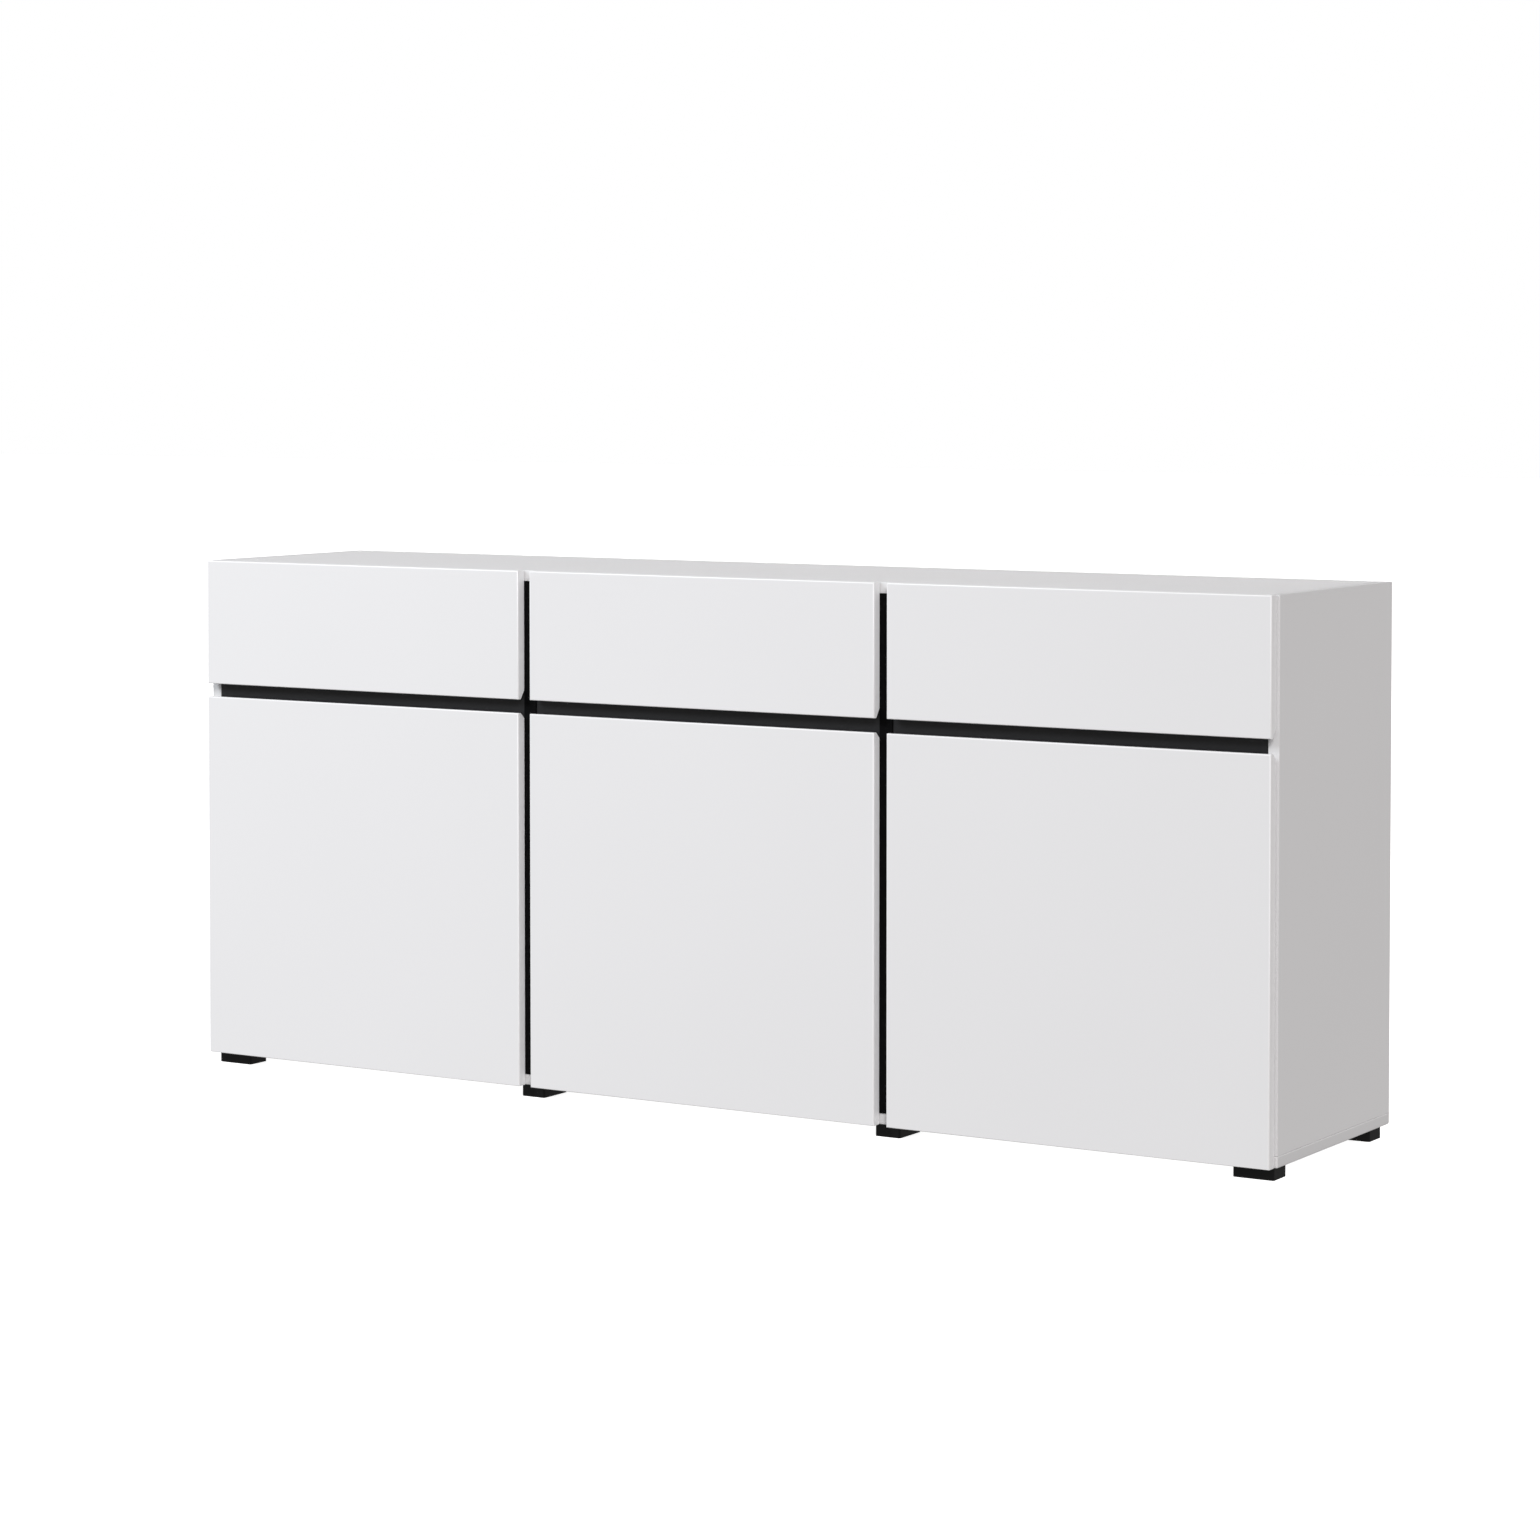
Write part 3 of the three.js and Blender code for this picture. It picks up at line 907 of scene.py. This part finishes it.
    def nail_places(self, low: Vector, high: Vector, folds: Sequence[float]) -> list[Point]:
        """Where the nails of the back go: round its edges and along the partitions.

        Args:
            low: the back's lowest corner.
            high: the back's highest corner.
            folds: the X of the folds, which the nails pass on their outer sides.

        Returns:
            The nails' places.
        """
        along = evenly(low.x + self.nail_inset, high.x - self.nail_inset, self.nail_step)
        up = evenly(low.z + self.nail_inset, high.z - self.nail_inset, self.nail_step)
        beside = [fold + math.copysign(self.nail_past_fold, fold) for fold in folds]
        spots = [(x, z) for x in (along[0], along[-1], *beside) for z in up]
        spots += [(x, z) for z in (up[0], up[-1]) for x in along[1:-1]]
        return [(x, high.y, z) for x, z in spots]

    def caps(self) -> None:
        """White caps over the cam fittings at the foot of each upright board."""
        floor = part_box("bottom_panel")[1].z
        for kind in ("side_panel", "partition"):
            for side in Side:
                node = f"{kind}_{side.label}"
                low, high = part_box(node)
                x = high.x if side is Side.LEFT else low.x
                rows = (low.y + self.cap_inset, high.y - self.cap_inset)
                master = FITTINGS.cap("cap", self.cap_radius, self.cap_tall, X, -side.value, WHITE_CAP)
                spots = [(x, y, floor + self.cap_rise) for y in rows]
                fit(copies(master, f"cam_caps_{node}", spots), CARCASS, Slot.WHITE_BOARD)

    def under_screws(self) -> None:
        """Screw heads under the floor board, in line with the upright boards."""
        low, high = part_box("bottom_panel")
        rows = [low.y + share * (high.y - low.y) for share in self.screw_rows]
        spots = [(middle_x(node), y, low.z) for node in UPRIGHTS for y in rows]
        head = FITTINGS.screw_head("screw", self.screw_radius, Z, -1, ZINC_PLATE)
        fit(copies(head, "floor_screws", spots), CARCASS, Slot.NICKEL)


@dataclass
class Feet:
    """Moulded block feet: six in the CAD frame and two more under the rear of the partitions."""

    corner: float = 3 * MM
    foot_edge: float = 0.8 * MM
    wall: float = 5 * MM
    pocket: float = 11 * MM
    screw_radius: float = 4 * MM

    def build(self) -> None:
        """Makes all the feet."""
        for row in ("front", "middle", "rear"):
            for side in Side:
                node = f"foot_{row}_{side.label}"
                self.foot(f"{node}_block", *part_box(node), node)
        for side in Side:
            low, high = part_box(f"foot_middle_{side.label}")
            shift = Vector((0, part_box("foot_rear_left")[1].y - high.y, 0))
            self.foot(f"foot_rear_inner_{side.label}_block", low + shift, high + shift)

    def foot(self, name: str, low: Vector, high: Vector, *nodes: str) -> None:
        """One foot: round corners, a softened sole and a screw at the bottom of a pocket.

        Args:
            name: the foot's name.
            low: its lowest corner.
            high: its highest corner.
            nodes: the CAD node that it replaces, if there is one.
        """
        made = block(name, low, high, BLACK_POLYPROPYLENE)
        pick(made)
        bpy.ops.object.mode_set(mode="EDIT")
        bpy.ops.mesh.select_mode(type="EDGE")
        bpy.ops.mesh.select_all(action="DESELECT")
        bpy.ops.object.mode_set(mode="OBJECT")
        points = made.data.vertices
        for edge in made.data.edges:
            edge.select = abs(points[edge.vertices[0]].co.z - points[edge.vertices[1]].co.z) > self.corner
        bpy.ops.object.mode_set(mode="EDIT")
        bpy.ops.mesh.bevel(offset=self.corner, segments=5, affect="EDGES")
        bpy.ops.object.mode_set(mode="OBJECT")
        with faces_of(made, facing(Z, -1)):
            bpy.ops.mesh.inset(thickness=self.wall)
            bpy.ops.mesh.extrude_region_move(TRANSFORM_OT_translate={"value": (0, 0, self.pocket)})
        soften(made, self.foot_edge, 2, 60)
        fit(made, CARCASS, Slot.BLACK_PLASTIC, *nodes)
        head = FITTINGS.screw_head("screw", self.screw_radius, Z, -1, ZINC_PLATE)
        middle = (low + high) / 2
        spot = (middle.x, middle.y, low.z + self.pocket)
        fit(copies(head, f"{name}_screw", [spot]), CARCASS, Slot.NICKEL)


@dataclass
class Shelf:
    """One shelf with a band along its front, on four steel pins."""

    bay: Bay
    edge: float = 0.35 * MM
    pin_radius: float = 2.4 * MM
    pin_reach: float = 9 * MM
    pin_in_board: float = 8 * MM
    pin_end: float = 0.5 * MM  # rounding at its free end
    collar_radius: float = 4 * MM
    collar: float = 0.9 * MM
    collar_drop: float = 1.5 * MM

    def build(self, hole_rows: Callable[[str], list[tuple[float, float]]]) -> None:
        """Makes the shelf and its pins.

        Args:
            hole_rows: gives the holes in a board, from which the pins take their places.
        """
        node = f"shelf_{self.bay.value}"
        low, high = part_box(node)
        made = block(f"{node}_board", low, high, WHITE_MELAMINE, WHITE_BAND)
        paint(made, BAND, across(Z))
        soften(made, self.edge)
        fit(made, CARCASS, Slot.WHITE_BOARD, node)
        pins = []
        for wall, sign in zip(self.bay.walls, (1, -1)):
            face_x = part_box(wall)[1 if sign > 0 else 0].x
            at_shelf = [(y, z) for y, z in hole_rows(wall) if abs(low.z - PIN_HOLE - z) < MM]
            pins += [self.pin(face_x, sign, y, z) for y, z in at_shelf]
        fit(join(f"shelf_pins_{self.bay.value}", pins), CARCASS, Slot.NICKEL)

    def pin(self, face_x: float, sign: int, y: float, z: float) -> Piece:
        """One pin: a bar in its hole, with a collar against the board.

        Args:
            face_x: the X of the board's face.
            sign: the way from the board to the shelf, along X.
            y: the hole's Y.
            z: the hole's Z.

        Returns:
            The pin.
        """
        ends = [(face_x + sign * reach, y, z) for reach in (-self.pin_in_board, self.pin_reach)]
        bar = rod("pin", self.pin_radius, *ends, NICKEL_PLATE, sides=16)
        with faces_of(bar, facing(X, sign)):
            bpy.ops.mesh.bevel(offset=self.pin_end, segments=2, affect="EDGES")
        low = Vector((face_x, y, z - self.collar_drop))
        collar = rod("collar", self.collar_radius, low, low + Vector((sign * self.collar, 0, 0)))
        carve(bar, [collar], "UNION")
        shade(bar)
        return bar


# Fronts


class Grip(Enum):
    """Which edge of a front is bevelled behind for the fingers, and how tall the bevel is."""

    DRAWER = (-1, 13 * MM)
    DOOR = (1, 8 * MM)


@dataclass
class Front:
    """A handleless front: a board with thick rounded bands, and a bevel behind its grip edge."""

    node: str
    body: str
    grip: Grip
    land: float = 7 * MM  # flat part of the grip edge
    band_radius: float = 2.0 * MM
    back_edge: float = 0.4 * MM

    def build(self, bores: Iterable[tuple[Vector, float, float]] = ()) -> None:
        """Makes the front.

        Args:
            bores: for each hinge cup, the middle of its mouth, its radius and its depth.
        """
        low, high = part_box(self.node)
        sign, rise = self.grip.value
        # the front band's colour is painted light: whiter than the face, so that the side faces in the gaps
        # read lit
        made = block(f"{self.node}_board", low, high, WHITE_MELAMINE, FRONT_BAND_PAINTED_LIGHT, CHIPBOARD)
        grip_z = high.z if sign > 0 else low.z
        corner = Vector((0, low.y + self.land, grip_z))
        inner = Vector((0, high.y, grip_z - sign * rise))
        slope = inner - corner
        cut(made, corner, (0, abs(slope.z), sign * abs(slope.y)), drop=True)
        paint(made, BAND, across(Y))
        for mouth, radius, depth in bores:
            ends = (mouth + Vector((0, MM, 0)), mouth - Vector((0, depth, 0)))
            drill = rod("drill", radius, *ends, *[CHIPBOARD] * 3, sides=36)
            paint(drill, CORE, lambda face: True)
            carve(made, [drill])
        with faces_of(made, facing(Y, -1)):
            bpy.ops.mesh.bevel(offset=self.band_radius, segments=4, affect="EDGES", material=BAND)
        soften(made, self.back_edge, 1, 60)
        fit(made, self.body, Slot.WHITE_BOARD, self.node)


@dataclass
class Drawer:
    """One drawer: its front, its wrapped box, and the rollers and screws of its slides."""

    bay: Bay
    edge: float = 0.6 * MM
    groove_depth: float = 5 * MM
    groove_play: float = 0.2 * MM
    steel: float = 1.2 * MM  # the slides' thickness
    roller_radius: float = 9.1 * MM
    roller_width: float = 5.6 * MM
    roller_off_wall: float = 4.9 * MM
    roller_from_front: float = 13 * MM
    roller_play: float = 0.1 * MM  # under the runner's lip
    roller_edge: float = 0.7 * MM
    roller_rim: float = 2.4 * MM
    roller_dish: float = 0.8 * MM
    screw_radius: float = 3.4 * MM
    screw_rows: tuple[float, ...] = (37 * MM, 165 * MM, 293 * MM)  # from the slide's front end

    @property
    def body(self) -> str:
        """The CAD body of this drawer."""
        return f"drawer_{self.bay.value}"

    def build(self) -> None:
        """Makes the drawer."""
        name = self.bay.value
        Front(f"drawer_front_{name}", self.body, Grip.DRAWER).build()
        for side in Side:
            self.box_side(side)
            self.slide(side)
        self.box_back()
        keep_node(f"drawer_bottom_{name}", LACQUERED_HARDBOARD)

    def box_side(self, side: Side) -> None:
        """One side of the box, with round edges and the groove for the bottom.

        Args:
            side: which side.
        """
        node = f"drawer_side_{self.bay.value}_{side.label}"
        low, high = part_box(node)
        made = block(f"{node}_board", low, high, WRAPPED_FOIL)
        bottom_low, bottom_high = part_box(f"drawer_bottom_{self.bay.value}")
        inner = low.x if side is Side.RIGHT else high.x
        reach = inner + side.value * self.groove_depth
        near, far = sorted((inner - side.value * MM, reach))
        groove = block(
            "groove",
            (near, low.y - MM, bottom_low.z - self.groove_play),
            (far, high.y + MM, bottom_high.z + self.groove_play),
        )
        carve(made, [groove])
        soften(made, self.edge, 2, 60)
        fit(made, self.body, Slot.DRAWER_BOARD, node)

    def box_back(self) -> None:
        """The back of the box."""
        node = f"drawer_back_{self.bay.value}"
        made = block(f"{node}_board", *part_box(node), WRAPPED_FOIL)
        soften(made, self.edge, 2, 60)
        fit(made, self.body, Slot.DRAWER_BOARD, node)

    def slide(self, side: Side) -> None:
        """The finishes, roller and screws of one slide.

        Args:
            side: which side of the drawer.
        """
        name = f"{self.bay.value}_{side.label}"
        keep_node(f"slide_{name}", POWDER_COAT)
        keep_node(f"runner_{name}", POWDER_COAT)
        low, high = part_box(f"slide_{name}")
        inward = -side.value
        wall = high.x if side is Side.RIGHT else low.x
        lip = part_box(f"runner_{name}")[1].z - self.steel
        centre = Vector(
            (
                wall + inward * self.roller_off_wall,
                low.y + self.roller_from_front,
                lip - self.roller_radius - self.roller_play,
            )
        )
        half = Vector((self.roller_width / 2, 0, 0))
        ends = (centre - half, centre + half)
        roller = rod(f"slide_roller_{name}", self.roller_radius, *ends, NYLON, sides=36)
        for sign in (-1, 1):
            with faces_of(roller, facing(X, sign)):
                bpy.ops.mesh.bevel(offset=self.roller_edge, segments=2, affect="EDGES")
            with faces_of(roller, facing(X, sign)):
                bpy.ops.mesh.inset(thickness=self.roller_rim)
                inwards = (-sign * self.roller_dish, 0, 0)
                bpy.ops.mesh.extrude_region_move(TRANSFORM_OT_translate={"value": inwards})
        shade(roller)
        fit(roller, CARCASS, Slot.WHITE_STEEL)
        head = FITTINGS.screw_head("screw", self.screw_radius, X, inward, ZINC_PLATE)
        middle = (low.z + high.z) / 2
        spots = [(wall + inward * self.steel, low.y + along, middle) for along in self.screw_rows]
        fit(copies(head, f"slide_screws_{name}", spots), CARCASS, Slot.NICKEL)


# Doors


@dataclass
class Hinge:
    """One concealed hinge: a cup in the door, an arm on a plate, and the link between them."""

    bay: Bay
    level: Level
    cup_radius: float = 17.3 * MM
    cup_depth: float = 11.5 * MM
    rim_radius: float = 19.0 * MM
    flange: float = 1.0 * MM
    wall: float = 0.9 * MM
    ear_width: float = 15 * MM
    ear_span: float = 60 * MM
    ear_offset: float = 7 * MM
    ear_screws: float = 48 * MM  # between the middles of the two screws
    ear_screw_radius: float = 3.6 * MM
    play: float = 0.2 * MM  # round the cup, and under its rim
    cup_edge: float = 0.3 * MM
    arm_height: float = 15 * MM
    arm_width: float = 11 * MM
    nose: float = 12 * MM
    crank: float = 26 * MM
    plate: float = 2.1 * MM
    plate_height: float = 48 * MM
    plate_low: float = 28 * MM
    plate_high: float = 46 * MM
    plate_edge: float = 0.5 * MM
    plate_screws: float = 32 * MM  # between the middles of the two screws
    seat: float = 0.3 * MM  # between the plate and the board
    arm_setback: float = 0.7 * MM  # from the carcass's front edge
    arm_off_board: float = 2.3 * MM
    arm_edge: float = 1.2 * MM
    arm_screws: tuple[float, float] = (32 * MM, 54 * MM)  # from the carcass's front edge
    arm_screw_radius: float = 3.2 * MM
    link_half: tuple[float, float, float] = (1.1 * MM, 0.0, 5.4 * MM)
    link_edge: float = 0.35 * MM
    link_steps: int = 14
    link_off_floor: float = 2.5 * MM  # above the floor of the cup
    link_in_arm: float = 3 * MM
    link_in_cup: float = 2 * MM  # the stretch that turns fully with the door

    @property
    def name(self) -> str:
        """This hinge's part of its nodes' names."""
        return f"{self.bay.value}_{self.level.value}"

    @property
    def hang(self) -> int:
        """The sign along X of the side that the door hangs on."""
        return self.bay.hangs_on.value

    def middle(self) -> Vector:
        """The middle of the cup's mouth, on the rear face of the door.

        Returns:
            The point.
        """
        low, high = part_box(f"hinge_cup_{self.name}")
        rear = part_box(f"door_panel_{self.bay.value}")[1].y
        x = low.x + self.rim_radius if self.hang > 0 else high.x - self.rim_radius
        return Vector((x, rear, (low.z + high.z) / 2))

    def bore(self) -> tuple[Vector, float, float]:
        """The middle, radius and depth of this hinge's bore in the door."""
        return self.middle(), self.cup_radius + self.play, self.cup_depth + MM

    def build(self) -> None:
        """Makes the cup, the arm and the link."""
        self.cup()
        self.arm()
        self.link()

    def cup(self) -> None:
        """The cup with its rim and screw ears."""
        middle = self.middle()
        out = Vector((0, 1, 0))
        foot = middle + self.play * out
        top = foot + self.flange * out
        made = rod("cup", self.cup_radius, middle - self.cup_depth * out, top, NICKEL_PLATE, sides=36)
        rim = rod("rim", self.rim_radius, foot, top, NICKEL_PLATE, sides=36)
        half = Vector((self.ear_width / 2, 0, self.ear_span / 2))
        ears_at = foot - Vector((self.hang * self.ear_offset, 0, 0))
        ears = block("ears", ears_at - half, ears_at + half + self.flange * out, NICKEL_PLATE)
        floor = middle - (self.cup_depth - self.wall) * out
        hollow = rod("hollow", self.cup_radius - self.wall, floor, top + MM * out, sides=36)
        carve(made, [rim, ears], "UNION")
        carve(made, [hollow])
        soften(made, self.cup_edge, 2, 50)
        made.name = made.data.name = f"hinge_cup_{self.name}_pressing"
        fit(made, f"door_{self.bay.value}", Slot.NICKEL, f"hinge_cup_{self.name}")
        head = FITTINGS.screw_head("screw", self.ear_screw_radius, Y, 1, ZINC_PLATE)
        spots = [ears_at + Vector((0, self.flange, sign * self.ear_screws / 2)) for sign in (-1, 1)]
        fit(copies(head, f"hinge_cup_screws_{self.name}", spots), f"door_{self.bay.value}", Slot.NICKEL)

    def arm(self) -> None:
        """The cranked arm on its plate, with the screws that hold and adjust it."""
        low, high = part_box(f"hinge_arm_{self.name}")
        inward = -self.hang
        face = low.x - self.seat if inward > 0 else high.x + self.seat
        front = low.y - self.arm_setback
        middle_z = (low.z + high.z) / 2
        nose_off_board = abs(self.middle().x - face) - self.arm_width / 2

        def corner(depth: float, y: float, z: float) -> Vector:
            """A point at a depth off the board, a distance behind the carcass front and a height."""
            return Vector((face + inward * depth, front + y, middle_z + z))

        def cuboid(name: str, near: tuple[float, float, float], far: tuple[float, float, float]) -> Piece:
            """A block between two such points."""
            ends = [corner(*near), corner(*far)]
            return block(name, [min(v) for v in zip(*ends)], [max(v) for v in zip(*ends)], NICKEL_PLATE)

        half = self.arm_height / 2
        top = self.arm_off_board + self.arm_width
        made = cuboid("arm", (self.arm_off_board, self.arm_setback, -half), (top, high.y - front, half))
        for y in (self.nose, self.crank):
            cut(made, (0, front + y, 0), (0, 1, 0))
        for point in made.data.vertices:
            if point.co.y < front + self.nose + OVERLAP:
                point.co.x += inward * (nose_off_board - self.arm_off_board)
        soften(made, self.arm_edge, 3, 30)
        half = self.plate_height / 2
        plate_top = self.seat + self.plate
        plate = cuboid("plate", (self.seat, self.plate_low, -half), (plate_top, self.plate_high, half))
        soften(plate, self.plate_edge, 2, 50)
        whole = join(f"hinge_arm_{self.name}_pressing", [made, plate])
        fit(whole, CARCASS, Slot.NICKEL, f"hinge_arm_{self.name}")
        head = FITTINGS.screw_head("screw", self.arm_screw_radius, X, inward, ZINC_PLATE)
        plate_y = (self.plate_low + self.plate_high) / 2
        spots = [corner(top, y, 0) for y in self.arm_screws]
        spots += [corner(plate_top, plate_y, sign * self.plate_screws / 2) for sign in (-1, 1)]
        fit(copies(head, f"hinge_arm_screws_{self.name}", spots), CARCASS, Slot.NICKEL)

    def link(self) -> None:
        """The pressed link that swings out of the cup as the door opens."""
        middle = self.middle()
        arm_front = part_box(f"hinge_arm_{self.name}")[0].y
        far = middle.y - self.cup_depth + self.link_off_floor
        near = arm_front + self.link_in_arm
        half = Vector(self.link_half)
        low = Vector((middle.x, far, middle.z)) - half
        high = Vector((middle.x, near, middle.z)) + half
        made = block(f"hinge_link_{self.name}", low, high, NICKEL_PLATE)
        for step in range(1, self.link_steps):
            cut(made, (0, far + (near - far) * step / self.link_steps, 0), (0, 1, 0))
        soften(made, self.link_edge, 1, 60)
        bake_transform(made)
        LOG.info("%s bends between %s and door_%s", made.name, CARCASS, self.bay.value)


@dataclass
class Door:
    """One door with its hinges and the buffers that it closes on."""

    bay: Bay
    buffer_radius: float = 3.2 * MM
    buffer_tall: float = 1.5 * MM
    buffer_from_edge: float = 40 * MM
    buffer_rises: tuple[float, float] = (8 * MM, 3.4 * MM)  # above the door's foot and the rail's

    def build(self) -> None:
        """Makes the door, its hinges and its buffers."""
        hinges = [Hinge(self.bay, level) for level in Level]
        body = f"door_{self.bay.value}"
        panel = f"door_panel_{self.bay.value}"
        Front(panel, body, Grip.DOOR).build([hinge.bore() for hinge in hinges])
        for hinge in hinges:
            hinge.build()
        low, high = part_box(panel)
        free_edge = low.x if self.bay.hangs_on is Side.RIGHT else high.x
        x = free_edge + self.bay.hangs_on.value * self.buffer_from_edge
        feet = (low.z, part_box("channel_rail")[0].z)
        spots = [(x, high.y, foot + rise) for foot, rise in zip(feet, self.buffer_rises)]
        master = FITTINGS.cap("buffer", self.buffer_radius, self.buffer_tall, Y, 1, SILICONE)
        fit(copies(master, f"door_buffers_{self.bay.value}", spots), body, Slot.WHITE_BOARD)


# Studio


@dataclass(frozen=True)
class Lamp:
    """A light of the studio, and how strong and what colour it is."""

    name: str
    strength: float  # watts, or watts a square metre for a wash
    colour: str

    def hang(self, kind: str) -> Piece:
        """Adds the light to the scene.

        Args:
            kind: Blender's name for its kind.

        Returns:
            The object that holds it.
        """
        lamp = bpy.data.lights.new(self.name, kind)
        lamp.energy, lamp.color = self.strength, linear(self.colour)[:3]
        holder = bpy.data.objects.new(self.name, lamp)
        bpy.context.collection.objects.link(holder)
        return holder


@dataclass(frozen=True)
class SoftBox(Lamp):
    """A square soft light."""

    spot: tuple[float, float, float]
    aim: tuple[float, float, float]
    size: float

    def build(self) -> None:
        """Adds the light and aims it."""
        holder = self.hang("AREA")
        holder.data.shape, holder.data.size = "SQUARE", self.size
        holder.location = self.spot
        holder.rotation_euler = (Vector(self.aim) - Vector(self.spot)).to_track_quat("-Z", "Y").to_euler()


@dataclass(frozen=True)
class Wash(Lamp):
    """A broad, even light with soft shadows, whose mirror image doesn't glare off the top."""

    turn: float  # where it comes from, in degrees from straight on, towards the right side
    tilt: float  # degrees above level
    spread: float = 28.0  # degrees across, which softens the shadows

    def build(self) -> None:
        """Adds the light and turns it."""
        holder = self.hang("SUN")
        holder.data.angle = math.radians(self.spread)
        holder.rotation_euler = (math.radians(90 - self.tilt), 0, math.radians(self.turn))
        holder.visible_glossy = False


LIGHTS = (
    SoftBox("key light", 165.0, "#f3f9ff", spot=(-3.4, -4.2, 3.8), aim=(0.0, -0.2, 0.4), size=2.0),
    Wash("front wash", 2.05, "#fffcfb", turn=38.0, tilt=34.0),
    Wash("rear wash", 1.6, "#fffcfb", turn=202.0, tilt=5.0),
)


@dataclass(frozen=True)
class Studio:
    """A plain pale floor, an even white surround, the lights and the camera."""

    camera_spot: tuple[float, float, float] = (3.1579, -5.1513, 1.0918)
    camera_turn: float = 31.502  # degrees from straight on, towards the right side
    camera_dip: float = 2.302  # degrees below level
    lens: float = 96.236
    shift: float = -0.16
    surround: float = 0.295
    surround_colour: str = "#fffdfc"
    floor_size: float = 60.0

    def build(self) -> None:
        """Makes the floor, lights, surround and camera."""
        self.floor()
        self.surroundings()
        for light in LIGHTS:
            light.build()
        self.camera()
        bpy.context.scene.view_settings.view_transform = "Standard"

    def floor(self) -> None:
        """The floor, bright enough to meet the surround with no line."""
        deselect()
        bpy.ops.mesh.primitive_plane_add(size=self.floor_size, location=(0, 0, 0))
        floor = bpy.context.object
        floor.name = "studio_floor"
        material = bpy.data.materials.new("pale studio floor")
        material.use_nodes = True
        tree = material.node_tree
        tree.nodes.clear()
        shader = add_node(
            tree,
            "ShaderNodeBsdfPrincipled",
            {
                "Base Color": linear("#f4f4f4"),
                "Roughness": 0.9,
                "Specular IOR Level": 0.0,
                "Emission Color": (1.0, 1.0, 1.0, 1.0),
                "Emission Strength": 0.85,
            },
        )
        add_node(tree, "ShaderNodeOutputMaterial", {"Surface": shader.outputs[0]})
        floor.data.materials.append(material)
        floor.visible_diffuse = floor.visible_glossy = False

    def surroundings(self) -> None:
        """An even surround: soft light on the object, and plain white behind it."""
        world = bpy.data.worlds.new("studio surround")
        bpy.context.scene.world = world
        world.use_nodes = True
        tree = world.node_tree
        tree.nodes.clear()
        seen = add_node(tree, "ShaderNodeLightPath").outputs["Is Camera Ray"]
        spread = {"Value": seen, "To Min": self.surround, "To Max": 1.0}
        strength = add_node(tree, "ShaderNodeMapRange", spread).outputs[0]
        tint = {0: seen, 6: linear(self.surround_colour), 7: (1.0, 1.0, 1.0, 1.0)}
        colour = add_node(tree, "ShaderNodeMix", tint, data_type="RGBA").outputs[2]
        light = add_node(tree, "ShaderNodeBackground", {"Color": colour, "Strength": strength})
        add_node(tree, "ShaderNodeOutputWorld", {"Surface": light.outputs[0]})

    def camera(self) -> None:
        """The camera, a little above the top and well to the right."""
        data = bpy.data.cameras.new("camera")
        data.lens, data.sensor_width, data.shift_y = self.lens, 36.0, self.shift
        camera = bpy.data.objects.new("camera", data)
        camera.location = self.camera_spot
        camera.rotation_euler = (math.radians(90 - self.camera_dip), 0, math.radians(self.camera_turn))
        bpy.context.collection.objects.link(camera)
        bpy.context.scene.camera = camera


def main() -> None:
    """Builds the looks round the CAD frame."""
    logging.basicConfig(level=logging.INFO, format="%(message)s")
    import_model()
    Studio().build()
    carcass = Carcass()
    carcass.build()
    Feet().build()
    for bay in Bay:
        Shelf(bay).build(carcass.hole_rows)
        Drawer(bay).build()
        Door(bay).build()
    deselect()


if __name__ == "__main__":
    main()
